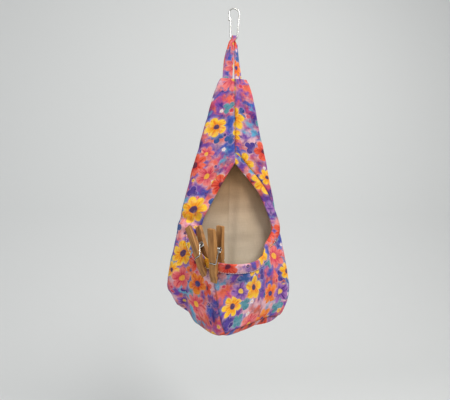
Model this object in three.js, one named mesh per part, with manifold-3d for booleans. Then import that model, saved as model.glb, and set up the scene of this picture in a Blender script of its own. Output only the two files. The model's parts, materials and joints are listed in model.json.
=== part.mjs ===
// Peg bag: a printed cotton bag with a teardrop mouth, hung by a cloth loop from a sprung wire ring,
// with two wooden spring pegs clipped to the rim of the mouth.
// Millimetres. X runs to the viewer's right, Y away from the viewer, Z up.
// The origin is the point inside the top of the ring where it hangs.

import * as THREE from 'three';
import { mergeVertices } from 'three/addons/utils/BufferGeometryUtils.js';
import Module from 'manifold-3d';

const wasm = await Module();
wasm.setup();

// Clearance between pieces that touch, are sewn together or turn on each other
const GAP = 0.3;

// Wire ring and its sprung latch; radii run to the middle of the wire
const RING_WIRE = 2.0;
const RING_INSIDE_LENGTH = 44;
const RING_TOP_RADIUS = 7.5;
const RING_BOTTOM_RADIUS = 5.2;
const NOSE_DROP = 13;
const NOSE_OVERLAP = 4.5;

// Cloth loop between the ring and the bag
const LOOP_WIDTH = 14;
const LOOP_GATHERED_WIDTH = 7;
const LOOP_THICKNESS = 2.4;
const LOOP_LENGTH = 65;
const LOOP_TUCK = 18;
const LOOP_END_SPACING = 20;
const LOOP_FLARE_LENGTH = 40;

// Bag body; a drop is a distance below the bag's top edge
const TOP_WIDTH = 43;
const WIDEST_WIDTH = 186;
const BASE_WIDTH = 152;
const SIDE_BOW = 4;
const WIDEST_DROP = 299;
const BAG_HEIGHT = 345;
const TOP_THICKNESS = 7.8;
const SIDE_THICKNESS = 27;
const BACK_SETBACK = 32;
const BACK_SLOPE_DROP = 210;
const PROW_START_DROP = 165;
const PROW_FULL_DROP = 248;
const PROW_DEPTH = 48;
const PROW_SHARPNESS = 1.8;
const PROW_SHIFT = -12;
const RIM_FLARE = 14;
const RIM_FLARE_START_DROP = 212;
const RIM_FLARE_FOOT_DROP = 292;
const RIM_FLARE_SOFTNESS = 0.12;
const BASE_SAG = 12;
const BASE_FLATNESS = 4;
const LINING_RISE = 3;

// Cloth thicknesses and the binding round the mouth
const OUTER_CLOTH = 1.0;
const LINING_CLOTH = 0.8;
const BINDING_CLOTH = 0.6;
const BINDING_WIDTH = 11.5;

// Teardrop mouth
const MOUTH_TOP_DROP = 121;
const MOUTH_WIDE_DROP = 217;
const MOUTH_BOTTOM_DROP = 260;
const MOUTH_WIDTH = 118;
const MOUTH_SHIFT = 5;
const MOUTH_APEX_SPREAD = 25;
const MOUTH_APEX_REACH = 36;
const MOUTH_SIDE_REACH = 30;
const MOUTH_LEFT_CORNER = { drop: 34, reach: 55 };
const MOUTH_RIGHT_CORNER = { drop: 30, reach: 36 };

// Clothes pegs: legs, coil seats and springs
const PEG_LENGTH = 72;
const PEG_WIDTH = 10.5;
const PEG_LEG_THICKNESS = 6.4;
const PEG_TIP_THICKNESS = 3.6;
const PEG_HANDLE_THICKNESS = 4.4;
const PEG_HANDLE_SPREAD = 3.2;
const PEG_PIVOT = 43;
const PEG_GROOVE = 27;
const PEG_GROOVE_DEPTH = 1.3;
const PEG_NOTCH = 11;
const PEG_NOTCH_RADIUS = 2.4;
const PEG_CLEARANCE = 1.8;
const SPRING_WIRE = 1.6;
const SPRING_COIL_RADIUS = 3.3;
const SPRING_CURLS = 5;
const RIGHT_PEG = { across: -25, slant: -5, grip: 25 };
const LEFT_PEG = { across: -42.2, slant: 29, grip: 27 };

// Smoothness of the curved surfaces, as counts
const FRONT_COLUMNS = 8;
const SIDE_COLUMNS = 4;
const BACK_COLUMNS = 3;
const WALL_ROWS = 15;
const MOUTH_STEPS = 9;
const WIRE_SIDES = 8;
const BEND_STEPS = 8;
const CURL_STEPS = 8;
const CURL_SIDES = 5;
const LOOP_LEG_STEPS = 9;
const LATCH_END_STEPS = 2;
const PEG_CURVE_STEPS = 4;
const DISH_SHARES = [1, 0.94, 0.84, 0.62, 0.32];

const printedCotton = new THREE.MeshStandardMaterial({ color: 0xc9746a, roughness: 0.9, metalness: 0 });
const creamCotton = new THREE.MeshStandardMaterial({ color: 0xc8b9a0, roughness: 0.95, metalness: 0 });
const steelWire = new THREE.MeshStandardMaterial({ color: 0xb9bcc0, roughness: 0.3, metalness: 1 });
const pegWood = new THREE.MeshStandardMaterial({ color: 0x9a6a3a, roughness: 0.7, metalness: 0 });

const bag = new THREE.Group();

function addMesh(parent, name, geometry, material) {
  const mesh = new THREE.Mesh(geometry, material);
  mesh.name = name;
  parent.add(mesh);
  return mesh;
}

// Solids and booleans
function toSolid(geometry) {
  const bare = geometry.clone();
  bare.deleteAttribute('normal');
  bare.deleteAttribute('uv');
  const merged = mergeVertices(bare, 1e-4);
  const vertProperties = Float32Array.from(merged.attributes.position.array);
  const triVerts = Uint32Array.from(merged.index.array);
  return new wasm.Manifold(new wasm.Mesh({ numProp: 3, vertProperties, triVerts }));
}

function toGeometry(solid) {
  const mesh = solid.getMesh();
  const geometry = new THREE.BufferGeometry();
  geometry.setAttribute('position', new THREE.BufferAttribute(Float32Array.from(mesh.vertProperties), 3));
  geometry.setIndex(new THREE.BufferAttribute(Uint32Array.from(mesh.triVerts), 1));
  return geometry;
}

function meshFrom(points, triangles) {
  const geometry = new THREE.BufferGeometry();
  const position = new Float32Array(points.flatMap((p) => [p.x, p.y, p.z]));
  geometry.setAttribute('position', new THREE.BufferAttribute(position, 3));
  geometry.setIndex(triangles.flat());
  return geometry;
}

// A closed skin over rings of points that all have the same count, with a fan over each end
function loft(rings) {
  const count = rings[0].length;
  const points = rings.flat();
  const triangles = [];
  for (let r = 0; r < rings.length - 1; r += 1) {
    for (let i = 0; i < count; i += 1) {
      const a = r * count + i;
      const b = r * count + ((i + 1) % count);
      triangles.push([a, b, b + count], [a, b + count, a + count]);
    }
  }
  const last = (rings.length - 1) * count;
  const firstMiddle = points.length;
  points.push(middleOf(rings[0]), middleOf(rings[rings.length - 1]));
  for (let i = 0; i < count; i += 1) {
    const next = (i + 1) % count;
    triangles.push([firstMiddle, next, i], [firstMiddle + 1, last + i, last + next]);
  }
  return meshFrom(points, triangles);
}

function middleOf(ring) {
  const sum = ring.reduce((total, p) => total.add(p), new THREE.Vector3());
  return sum.divideScalar(ring.length);
}

// A round wire along a path of points, with its ring of sides carried along without twisting
function wireAlong(path, diameter, sides) {
  const tangents = path.map((p, i) => {
    const before = path[Math.max(i - 1, 0)];
    const after = path[Math.min(i + 1, path.length - 1)];
    return after.clone().sub(before).normalize();
  });
  const seed = Math.abs(tangents[0].y) < 0.9 ? new THREE.Vector3(0, 1, 0) : new THREE.Vector3(1, 0, 0);
  let out = seed.addScaledVector(tangents[0], -seed.dot(tangents[0])).normalize();
  const rings = path.map((p, i) => {
    out = out.addScaledVector(tangents[i], -out.dot(tangents[i])).normalize();
    const side = tangents[i].clone().cross(out);
    return Array.from({ length: sides }, (_, k) => {
      const angle = (2 * Math.PI * k) / sides;
      const radius = diameter / 2;
      return p.clone()
        .addScaledVector(out, radius * Math.cos(angle))
        .addScaledVector(side, radius * Math.sin(angle));
    });
  });
  return loft(rings);
}

function arcPoints(centre, radius, from, to, steps) {
  return Array.from({ length: steps + 1 }, (_, i) => {
    const angle = THREE.MathUtils.lerp(from, to, i / steps);
    const [across, up] = [radius * Math.cos(angle), radius * Math.sin(angle)];
    return new THREE.Vector3(centre.x + across, centre.y, centre.z + up);
  });
}

// Ring: a pear-shaped open wire whose nose comes down outside the tip of the latch
const wireRadius = RING_WIRE / 2;
const ringTop = new THREE.Vector3(0, 0, wireRadius - RING_TOP_RADIUS);
const ringBottom = new THREE.Vector3(0, 0, RING_BOTTOM_RADIUS - wireRadius - RING_INSIDE_LENGTH);
const ringLean = Math.asin((RING_TOP_RADIUS - RING_BOTTOM_RADIUS) / (ringTop.z - ringBottom.z));
const swingHeight = ringBottom.z - RING_BOTTOM_RADIUS;

const latchPivot = new THREE.Vector3(
  ringBottom.x - RING_BOTTOM_RADIUS * Math.cos(ringLean), 0,
  ringBottom.z - RING_BOTTOM_RADIUS * Math.sin(ringLean),
);
const noseTip = new THREE.Vector3(ringTop.x - RING_TOP_RADIUS, 0, -NOSE_DROP - NOSE_OVERLAP);
const latchTip = new THREE.Vector3(noseTip.x + RING_WIRE + GAP, 0, -NOSE_DROP);

function makeRingWire() {
  const start = Math.PI + ringLean + (wireRadius + GAP) / RING_BOTTOM_RADIUS;
  const bottomBend = arcPoints(ringBottom, RING_BOTTOM_RADIUS, start, 2 * Math.PI - ringLean, BEND_STEPS);
  const topBend = arcPoints(ringTop, RING_TOP_RADIUS, -ringLean, Math.PI, BEND_STEPS + 2);
  return wireAlong([...bottomBend, ...topBend, noseTip], RING_WIRE, WIRE_SIDES);
}

function makeRingLatch() {
  const along = latchTip.clone().sub(latchPivot).normalize();
  const rounded = Array.from({ length: LATCH_END_STEPS }, (_, i) => {
    const angle = (Math.PI / 2) * (1 - (i + 0.5) / LATCH_END_STEPS);
    const middle = latchPivot.clone().addScaledVector(along, -wireRadius * Math.sin(angle));
    return { middle, width: RING_WIRE * Math.cos(angle) };
  });
  const straight = [latchPivot, latchTip].map((middle) => ({ middle, width: RING_WIRE }));
  const sections = [...rounded, ...straight];
  const across = new THREE.Vector3(0, 1, 0);
  const side = along.clone().cross(across);
  return loft(sections.map(({ middle, width }) => Array.from({ length: WIRE_SIDES }, (_, k) => {
    const angle = (2 * Math.PI * k) / WIRE_SIDES;
    return middle.clone()
      .addScaledVector(across, (width / 2) * Math.cos(angle))
      .addScaledVector(side, (width / 2) * Math.sin(angle));
  })));
}

addMesh(bag, 'ring_wire', makeRingWire(), steelWire);
addMesh(bag, 'ring_latch', makeRingLatch(), steelWire);

// Cloth loop: gathered where it hangs on the ring, then its front leg runs down to the left end
// and its back leg to the right end, both tucked into the top of the bag
const bendInside = RING_BOTTOM_RADIUS - wireRadius;
const wireRise = RING_BOTTOM_RADIUS - Math.sqrt(bendInside ** 2 - (LOOP_GATHERED_WIDTH / 2) ** 2);
const loopInnerRadius = wireRise + GAP;
const loopMiddleRadius = loopInnerRadius + LOOP_THICKNESS / 2;
const bagTop = swingHeight + loopInnerRadius + LOOP_THICKNESS - LOOP_LENGTH;

function ease(t) {
  const clamped = THREE.MathUtils.clamp(t, 0, 1);
  return clamped * clamped * (3 - 2 * clamped);
}

function loopLeg(sideways) {
  const legLength = swingHeight - bagTop;
  const stations = [];
  for (let i = 0; i <= LOOP_LEG_STEPS; i += 1) {
    const t = i / LOOP_LEG_STEPS;
    const spread = ease(t);
    const flare = ease((legLength * t) / LOOP_FLARE_LENGTH);
    stations.push({
      middle: new THREE.Vector3(
        (sideways * LOOP_END_SPACING * spread) / 2,
        sideways * loopMiddleRadius * (1 - spread),
        swingHeight - legLength * t,
      ),
      width: THREE.MathUtils.lerp(LOOP_GATHERED_WIDTH, LOOP_WIDTH, flare),
    });
  }
  const sewn = stations[stations.length - 1];
  stations.push({ middle: sewn.middle.clone().setZ(bagTop - LOOP_TUCK), width: LOOP_WIDTH });
  return stations;
}

function makeHangingLoop() {
  const bend = [];
  for (let i = 1; i < BEND_STEPS; i += 1) {
    const angle = Math.PI - (Math.PI * i) / BEND_STEPS;
    bend.push({
      middle: new THREE.Vector3(
        0, loopMiddleRadius * Math.cos(angle), swingHeight + loopMiddleRadius * Math.sin(angle),
      ),
      width: LOOP_GATHERED_WIDTH,
    });
  }
  const path = [...loopLeg(-1).reverse(), ...bend, ...loopLeg(1)];
  const rings = path.map(({ middle, width }, i) => {
    const before = path[Math.max(i - 1, 0)].middle;
    const after = path[Math.min(i + 1, path.length - 1)].middle;
    const along = after.clone().sub(before).setX(0).normalize();
    const face = new THREE.Vector3(1, 0, 0).cross(along);
    const corner = (sideways, out) => middle.clone()
      .addScaledVector(new THREE.Vector3(1, 0, 0), (sideways * width) / 2)
      .addScaledVector(face, (out * LOOP_THICKNESS) / 2);
    return [corner(-1, 1), corner(1, 1), corner(1, -1), corner(-1, -1)];
  });
  return loft(rings);
}

addMesh(bag, 'hanging_loop', makeHangingLoop(), printedCotton);

// The rim of the pouch gapes outwards: straight up from a soft foot, and gone again above the rim
function rimFlare(drop) {
  const rise = (RIM_FLARE_FOOT_DROP - drop) / (RIM_FLARE_FOOT_DROP - MOUTH_BOTTOM_DROP);
  const above = ease((drop - RIM_FLARE_START_DROP) / (PROW_FULL_DROP - RIM_FLARE_START_DROP));
  return ((RIM_FLARE * (rise + Math.hypot(rise, RIM_FLARE_SOFTNESS))) / 2) * above;
}

// Bag body, as level sections: a flat back, round side edges and a front that stands out as a prow
function sectionAt(drop) {
  const t = Math.min(drop / WIDEST_DROP, 1);
  const tuck = Math.max((drop - WIDEST_DROP) / (BAG_HEIGHT - WIDEST_DROP), 0);
  const upper = TOP_WIDTH / 2 + ((WIDEST_WIDTH - TOP_WIDTH) / 2) * t + SIDE_BOW * Math.sin(Math.PI * t);
  const turnIn = ((WIDEST_WIDTH - BASE_WIDTH) / 2) * (1 - Math.cos((Math.PI * tuck) / 2));
  const sideRadius = THREE.MathUtils.lerp(TOP_THICKNESS, SIDE_THICKNESS, ease(drop / WIDEST_DROP)) / 2;
  const back = THREE.MathUtils.lerp(TOP_THICKNESS / 2, BACK_SETBACK, ease(drop / BACK_SLOPE_DROP));
  const below = (drop - MOUTH_BOTTOM_DROP) / (BAG_HEIGHT - MOUTH_BOTTOM_DROP);
  return {
    shoulder: upper - turnIn - sideRadius,
    sideRadius,
    back,
    wing: back - 2 * sideRadius,
    prow: PROW_DEPTH * ease((drop - PROW_START_DROP) / (PROW_FULL_DROP - PROW_START_DROP)) + rimFlare(drop),
    prowX: PROW_SHIFT * ease(below),
  };
}

function frontY(x, drop) {
  const s = sectionAt(drop);
  const reach = x < s.prowX ? s.shoulder + s.prowX : s.shoulder - s.prowX;
  const u = Math.min(Math.abs(x - s.prowX) / reach, 1);
  return s.wing - s.prow * (1 - u * u) ** PROW_SHARPNESS;
}

// One half of a level section, from the centre front round the side to the centre back,
// moved in by inset; hand is -1 for the left half and 1 for the right half
function halfSection(hand, drop, inset, seamGap) {
  const s = sectionAt(drop);
  const reach = s.shoulder - hand * s.prowX;
  const points = [];
  for (let i = 0; i < FRONT_COLUMNS; i += 1) {
    const u = i / FRONT_COLUMNS;
    const slope = (2 * PROW_SHARPNESS * u * s.prow * (1 - u * u) ** (PROW_SHARPNESS - 1)) / reach;
    const steep = Math.hypot(1, slope);
    const x = s.prowX + hand * Math.max(u * reach - (inset * slope) / steep, seamGap / 2);
    points.push([x, s.wing - s.prow * (1 - u * u) ** PROW_SHARPNESS + inset / steep]);
  }
  for (let i = 0; i <= SIDE_COLUMNS; i += 1) {
    const angle = -Math.PI / 2 + (Math.PI * i) / SIDE_COLUMNS;
    const radius = s.sideRadius - inset;
    points.push([
      hand * (s.shoulder + radius * Math.cos(angle)),
      s.back - s.sideRadius + radius * Math.sin(angle),
    ]);
  }
  for (let i = 1; i <= BACK_COLUMNS; i += 1) {
    const x = s.shoulder * (1 - i / BACK_COLUMNS);
    points.push([hand * Math.max(x, seamGap / 2), s.back - inset]);
  }
  return points.map(([x, y]) => new THREE.Vector3(x, y, bagTop - drop));
}

// Rows of half sections from the top edge down to the lowest drop
const liningHeight = BAG_HEIGHT - LINING_RISE;
const wallDrops = Array.from({ length: WALL_ROWS + 1 }, (_, r) => (liningHeight * r) / WALL_ROWS);
wallDrops.push(BAG_HEIGHT);

function halfRows(hand, inset, seamGap, lowest) {
  const drops = wallDrops.filter((drop) => drop <= lowest);
  return drops.map((drop) => halfSection(hand, drop, inset, seamGap));
}

// Triangles over a grid of rows, all split along the same diagonal so that layers of cloth stay nested
function gridTriangles(rows, start, flip) {
  const columns = rows[0].length;
  const triangles = [];
  for (let r = 0; r < rows.length - 1; r += 1) {
    for (let c = 0; c < columns - 1; c += 1) {
      const a = start + r * columns + c;
      const d = a + columns;
      triangles.push([a, d + 1, a + 1], [a, d, d + 1]);
    }
  }
  return flip ? triangles.map(([a, b, c]) => [a, c, b]) : triangles;
}

// A cloth wall between two insets: half the bag, closed along its edges
function halfWall(hand, insetOut, insetIn, lowest) {
  const outside = halfRows(hand, insetOut, GAP, lowest);
  const inside = halfRows(hand, insetIn, GAP, lowest);
  const columns = outside[0].length;
  const size = outside.length * columns;
  const left = hand < 0;
  const rim = [];
  for (let c = 0; c < columns; c += 1) rim.push(c);
  for (let r = 1; r < outside.length; r += 1) rim.push(r * columns + columns - 1);
  for (let c = columns - 2; c >= 0; c -= 1) rim.push((outside.length - 1) * columns + c);
  for (let r = outside.length - 2; r > 0; r -= 1) rim.push(r * columns);
  const edge = rim.flatMap((a, i) => {
    const b = rim[(i + 1) % rim.length];
    const faces = [[a, b, b + size], [a, b + size, a + size]];
    return left ? faces.map(([p, q, r]) => [p, r, q]) : faces;
  });
  const triangles = [...gridTriangles(outside, 0, left), ...gridTriangles(inside, size, !left), ...edge];
  return meshFrom([...outside.flat(), ...inside.flat()], triangles);
}

// The solid that one skin of the whole bag encloses, from its top edge to the foot of its walls
function enclosed(inset) {
  const right = halfRows(1, inset, 0, BAG_HEIGHT);
  const left = halfRows(-1, inset, 0, BAG_HEIGHT);
  const size = right.flat().length;
  const points = [...right.flat(), ...left.flat()];
  const triangles = [...gridTriangles(right, 0, false), ...gridTriangles(left, size, true)];
  for (const [row, up] of [[0, true], [right.length - 1, false]]) {
    const columns = right[0].length;
    const around = [];
    for (let c = 0; c < columns; c += 1) around.push(row * columns + c);
    for (let c = columns - 2; c > 0; c -= 1) around.push(size + row * columns + c);
    const middle = points.length;
    points.push(middleOf(around.map((i) => points[i])));
    around.forEach((a, i) => {
      const b = around[(i + 1) % around.length];
      triangles.push(up ? [middle, a, b] : [middle, b, a]);
    });
  }
  return toSolid(meshFrom(points, triangles));
}

// The mouth's outline on the front, moved out by reach, and a block that cuts along it
function mouthOutline(reach) {
  const wide = bagTop - MOUTH_WIDE_DROP;
  const apex = new THREE.Vector2(MOUTH_SHIFT, bagTop - MOUTH_TOP_DROP);
  const floor = new THREE.Vector2(MOUTH_SHIFT, bagTop - MOUTH_BOTTOM_DROP);
  const side = (hand, corner) => {
    const widest = new THREE.Vector2(MOUTH_SHIFT + (hand * MOUTH_WIDTH) / 2, wide);
    const upper = new THREE.CubicBezierCurve(
      apex,
      new THREE.Vector2(apex.x + hand * MOUTH_APEX_SPREAD, apex.y - MOUTH_APEX_REACH),
      new THREE.Vector2(widest.x, wide + MOUTH_SIDE_REACH),
      widest,
    );
    const lower = new THREE.CubicBezierCurve(
      widest,
      new THREE.Vector2(widest.x, wide - corner.drop),
      new THREE.Vector2(floor.x + hand * corner.reach, floor.y),
      floor,
    );
    return [...upper.getPoints(MOUTH_STEPS), ...lower.getPoints(MOUTH_STEPS).slice(1)];
  };
  const left = side(-1, MOUTH_LEFT_CORNER).slice(1, -1).reverse();
  const outline = [...side(1, MOUTH_RIGHT_CORNER), ...left];
  return outline.map((p, i) => {
    const before = outline[(i + outline.length - 1) % outline.length];
    const after = outline[(i + 1) % outline.length];
    const edgeIn = p.clone().sub(before).normalize();
    const edgeOut = after.clone().sub(p).normalize();
    const normal = new THREE.Vector2(-edgeIn.y - edgeOut.y, edgeIn.x + edgeOut.x).normalize();
    const miter = reach / normal.dot(new THREE.Vector2(-edgeIn.y, edgeIn.x));
    return p.clone().addScaledVector(normal, miter);
  });
}

// The block reaches from in front of the bag to halfway between its front and its back
function mouthBlock(reach) {
  const front = frontY(0, PROW_FULL_DROP) - BINDING_WIDTH;
  const shape = new THREE.Shape(mouthOutline(reach));
  const depth = 1;
  const geometry = new THREE.ExtrudeGeometry(shape, { depth, bevelEnabled: false, steps: 1 });
  geometry.rotateX(Math.PI / 2);
  const position = geometry.attributes.position;
  for (let i = 0; i < position.count; i += 1) {
    const s = sectionAt(bagTop - position.getZ(i));
    position.setY(i, position.getY(i) < -depth / 2 ? front : s.back - s.sideRadius);
  }
  return toSolid(geometry);
}

const liningInset = OUTER_CLOTH + GAP;
const wallThickness = liningInset + LINING_CLOTH;
const mouthCut = mouthBlock(0);

for (const [word, hand] of [['left', -1], ['right', 1]]) {
  const outer = toSolid(halfWall(hand, 0, OUTER_CLOTH, BAG_HEIGHT)).subtract(mouthCut);
  const lining = toSolid(halfWall(hand, liningInset, wallThickness, liningHeight)).subtract(mouthCut);
  addMesh(bag, `outer_${word}_panel`, toGeometry(outer), printedCotton);
  addMesh(bag, `lining_${word}_panel`, toGeometry(lining), creamCotton);
}

// Base panels: shallow dishes sewn on below the foot of the walls
function makeBasePanel(foot, inset, cloth) {
  const drop = foot + GAP + cloth;
  const right = halfSection(1, drop, inset, 0);
  const left = halfSection(-1, drop, inset, 0).slice(1, -1).reverse();
  const edge = [...right, ...left];
  const s = sectionAt(drop);
  const middle = new THREE.Vector3(s.prowX / 2, (frontY(s.prowX, drop) + s.back) / 2, 0);
  const surface = (rise) => DISH_SHARES.map((share) => edge.map((p) => new THREE.Vector3(
    THREE.MathUtils.lerp(middle.x, p.x, share),
    THREE.MathUtils.lerp(middle.y, p.y, share),
    p.z - BASE_SAG * (1 - share ** BASE_FLATNESS) + rise,
  )));
  return loft([...surface(cloth).reverse(), ...surface(0)].reverse());
}

addMesh(bag, 'outer_base_panel', makeBasePanel(BAG_HEIGHT, 0, OUTER_CLOTH), printedCotton);
addMesh(bag, 'lining_base_panel', makeBasePanel(liningHeight, liningInset, LINING_CLOTH), creamCotton);

// Binding: a folded strip that wraps the cut edge of the outer cloth and the lining round the mouth
function wholeWall(insetOut, insetIn) {
  return enclosed(insetOut).subtract(enclosed(insetIn));
}

function makeBinding() {
  const folded = wholeWall(-GAP - BINDING_CLOTH, wallThickness + GAP + BINDING_CLOTH)
    .intersect(mouthBlock(BINDING_WIDTH).subtract(mouthBlock(-GAP - BINDING_CLOTH)));
  const roomForCloth = wholeWall(-GAP, wallThickness + GAP).subtract(mouthBlock(-GAP));
  return toGeometry(folded.subtract(roomForCloth));
}

addMesh(bag, 'opening_binding', makeBinding(), printedCotton);

// Clothes pegs, each in its own frame: X along the legs from the jaws to the handles, Y out through the
// front leg, Z along the hinge; the origin is between the tips of the jaws
const jawGap = wallThickness + 2 * (GAP + BINDING_CLOTH + PEG_CLEARANCE);
const coilSeatRadius = SPRING_COIL_RADIUS + SPRING_WIRE / 2 + GAP;
const legInner = jawGap / 2;
const legOuter = legInner + PEG_LEG_THICKNESS;

function makePegLeg() {
  const grooveHalf = SPRING_WIRE / 2 + GAP;
  const grooveFloor = legOuter - PEG_GROOVE_DEPTH;
  const seatAngle = Math.acos(legInner / coilSeatRadius);
  const seatReach = coilSeatRadius * Math.sin(seatAngle);
  const outline = new THREE.Shape();
  outline.moveTo(0, legInner);
  outline.absarc(PEG_NOTCH, legInner, PEG_NOTCH_RADIUS, Math.PI, 0, true);
  outline.absarc(PEG_PIVOT, 0, coilSeatRadius, Math.PI / 2 + seatAngle, Math.PI / 2 - seatAngle, true);
  outline.lineTo(PEG_PIVOT + seatReach, legInner);
  outline.lineTo(PEG_LENGTH, legInner + PEG_HANDLE_SPREAD);
  outline.lineTo(PEG_LENGTH, legInner + PEG_HANDLE_SPREAD + PEG_HANDLE_THICKNESS);
  outline.lineTo(PEG_PIVOT + coilSeatRadius, legOuter);
  outline.lineTo(PEG_GROOVE + grooveHalf, legOuter);
  outline.lineTo(PEG_GROOVE + grooveHalf, grooveFloor);
  outline.lineTo(PEG_GROOVE - grooveHalf, grooveFloor);
  outline.lineTo(PEG_GROOVE - grooveHalf, legOuter);
  outline.lineTo(PEG_NOTCH + PEG_NOTCH_RADIUS, legOuter);
  outline.lineTo(0, legInner + PEG_TIP_THICKNESS);
  outline.closePath();
  const settings = { depth: PEG_WIDTH, bevelEnabled: false, steps: 1, curveSegments: PEG_CURVE_STEPS };
  return new THREE.ExtrudeGeometry(outline, settings).translate(0, 0, -PEG_WIDTH / 2);
}

// One unbroken wire: out of the back leg's groove, along the side to the coil, round its curls,
// and along the other side into the front leg's groove
function springPath() {
  const sideZ = PEG_WIDTH / 2 + GAP + SPRING_WIRE / 2;
  const grooveY = legOuter - PEG_GROOVE_DEPTH + GAP + SPRING_WIRE / 2;
  const reach = Math.hypot(PEG_GROOVE - PEG_PIVOT, grooveY);
  const leave = Math.atan2(grooveY, PEG_GROOVE - PEG_PIVOT) - Math.acos(SPRING_COIL_RADIUS / reach);
  const enter = -leave;
  const turn = 2 * (SPRING_CURLS * Math.PI + leave);
  const steps = Math.ceil((turn / (2 * Math.PI)) * CURL_STEPS);
  const coil = Array.from({ length: steps + 1 }, (_, i) => {
    const angle = enter + (turn * i) / steps;
    return new THREE.Vector3(
      PEG_PIVOT + SPRING_COIL_RADIUS * Math.cos(angle),
      SPRING_COIL_RADIUS * Math.sin(angle),
      THREE.MathUtils.lerp(-sideZ, sideZ, i / steps),
    );
  });
  const arm = (hand) => {
    const corner = new THREE.Vector3(PEG_GROOVE, hand * grooveY, hand * sideZ);
    const towardsCoil = coil[hand > 0 ? steps : 0].clone().sub(corner).normalize();
    return [
      corner.clone().addScaledVector(towardsCoil, 2 * SPRING_WIRE),
      corner.clone().addScaledVector(towardsCoil, SPRING_WIRE / 2),
      corner.clone().setZ(hand * (sideZ - SPRING_WIRE / 2)),
      corner.clone().setZ(-hand * (PEG_WIDTH / 2 - SPRING_WIRE)),
    ];
  };
  return [...arm(-1).reverse(), ...coil, ...arm(1)];
}

// The least gap between curls, measured on points at least half a curl apart along the wire
function leastGap(path, wire) {
  const reach = Math.PI * SPRING_COIL_RADIUS;
  const run = path.map(() => 0);
  for (let i = 1; i < path.length; i += 1) run[i] = run[i - 1] + path[i].distanceTo(path[i - 1]);
  let least = Infinity;
  for (let i = 0; i < path.length; i += 1) {
    for (let j = i + 1; j < path.length; j += 1) {
      if (run[j] - run[i] > reach) least = Math.min(least, path[i].distanceTo(path[j]) - wire);
    }
  }
  return least;
}

// The drop of the mouth's lower edge at a place across the bag
function rimDrop(x) {
  const lower = mouthOutline(0).filter((p) => p.y <= bagTop - MOUTH_WIDE_DROP);
  for (let i = 1; i < lower.length; i += 1) {
    const [right, left] = [lower[i - 1], lower[i]];
    if (left.x <= x && x <= right.x) {
      return bagTop - THREE.MathUtils.mapLinear(x, left.x, right.x, left.y, right.y);
    }
  }
  return MOUTH_WIDE_DROP;
}

// A peg's place: slanted in the wall's own plane, with its jaws reaching down over the rim by its grip
function pegFrame({ across, slant, grip }) {
  const drop = rimDrop(across);
  const step = 1;
  const slopeX = (frontY(across + step, drop) - frontY(across - step, drop)) / (2 * step);
  const slopeZ = (frontY(across, drop - step) - frontY(across, drop + step)) / (2 * step);
  const out = new THREE.Vector3(slopeX, -1, slopeZ).normalize();
  const up = new THREE.Vector3(0, 0, 1).addScaledVector(out, -out.z).normalize();
  up.applyAxisAngle(out, THREE.MathUtils.degToRad(slant));
  const place = new THREE.Vector3(across, frontY(across, drop), bagTop - drop);
  place.addScaledVector(out, -wallThickness / 2).addScaledVector(up, -grip);
  return new THREE.Matrix4().makeBasis(up, out, up.clone().cross(out)).setPosition(place);
}

const springWirePath = springPath();
console.log(`least gap in a peg spring: ${leastGap(springWirePath, SPRING_WIRE).toFixed(2)} mm`);

for (const [word, place] of [['left', LEFT_PEG], ['right', RIGHT_PEG]]) {
  const peg = new THREE.Group();
  pegFrame(place).decompose(peg.position, peg.quaternion, peg.scale);
  addMesh(peg, `${word}_peg_front_leg`, makePegLeg(), pegWood);
  addMesh(peg, `${word}_peg_back_leg`, makePegLeg(), pegWood).rotation.x = Math.PI;
  addMesh(peg, `${word}_peg_spring`, wireAlong(springWirePath, SPRING_WIRE, CURL_SIDES), steelWire);
  bag.add(peg);
}

export default bag;
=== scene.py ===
# %% [markdown]
# # A peg bag with a teardrop mouth
# The bag is a printed cotton pouch with a cream lining. It hangs by a cloth loop from a sprung wire
# ring, and two wooden spring pegs are clipped to the rim of its mouth. The solid model of the same
# bag is loaded first. It fixes every size and place, and everything below is built around it.

# %% Load the frame
import json
import math

import bpy
import numpy as np
from mathutils import Matrix, Vector


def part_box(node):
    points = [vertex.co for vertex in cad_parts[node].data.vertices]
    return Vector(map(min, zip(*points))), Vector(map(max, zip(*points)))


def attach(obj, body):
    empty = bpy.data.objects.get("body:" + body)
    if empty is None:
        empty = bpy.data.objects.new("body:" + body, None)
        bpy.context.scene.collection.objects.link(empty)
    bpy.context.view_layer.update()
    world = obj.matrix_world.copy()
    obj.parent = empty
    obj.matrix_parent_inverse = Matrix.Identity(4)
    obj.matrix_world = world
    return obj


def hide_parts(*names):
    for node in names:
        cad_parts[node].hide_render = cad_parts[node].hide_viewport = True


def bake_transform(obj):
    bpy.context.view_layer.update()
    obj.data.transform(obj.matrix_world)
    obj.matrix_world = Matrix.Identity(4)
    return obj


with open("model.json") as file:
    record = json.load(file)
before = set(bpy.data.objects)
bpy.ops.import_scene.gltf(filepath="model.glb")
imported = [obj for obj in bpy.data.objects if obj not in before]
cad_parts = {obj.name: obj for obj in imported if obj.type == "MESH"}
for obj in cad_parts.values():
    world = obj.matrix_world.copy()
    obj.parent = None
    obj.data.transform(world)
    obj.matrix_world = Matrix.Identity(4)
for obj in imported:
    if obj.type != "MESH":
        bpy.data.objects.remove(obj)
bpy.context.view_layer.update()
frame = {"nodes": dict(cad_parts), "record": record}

MM = 0.001

# %% [markdown]
# ## Camera
# The picture was taken from close by, a little left of the bag and level with its mouth, so the lens
# is wide. A camera could be pointed with a constraint, but turning it by yaw, pitch and roll keeps the
# slight tilt of a hand-held picture. An unturned camera looks straight down, hence the quarter turn.

# %% Camera
EYE = Vector((-65.5, -456.0, -293.8)) * MM
YAW = math.radians(7.0)
PITCH = math.radians(1.72)
ROLL = math.radians(0.83)
LENS = 25.6
NEAREST_SEEN = 10 * MM

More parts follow.
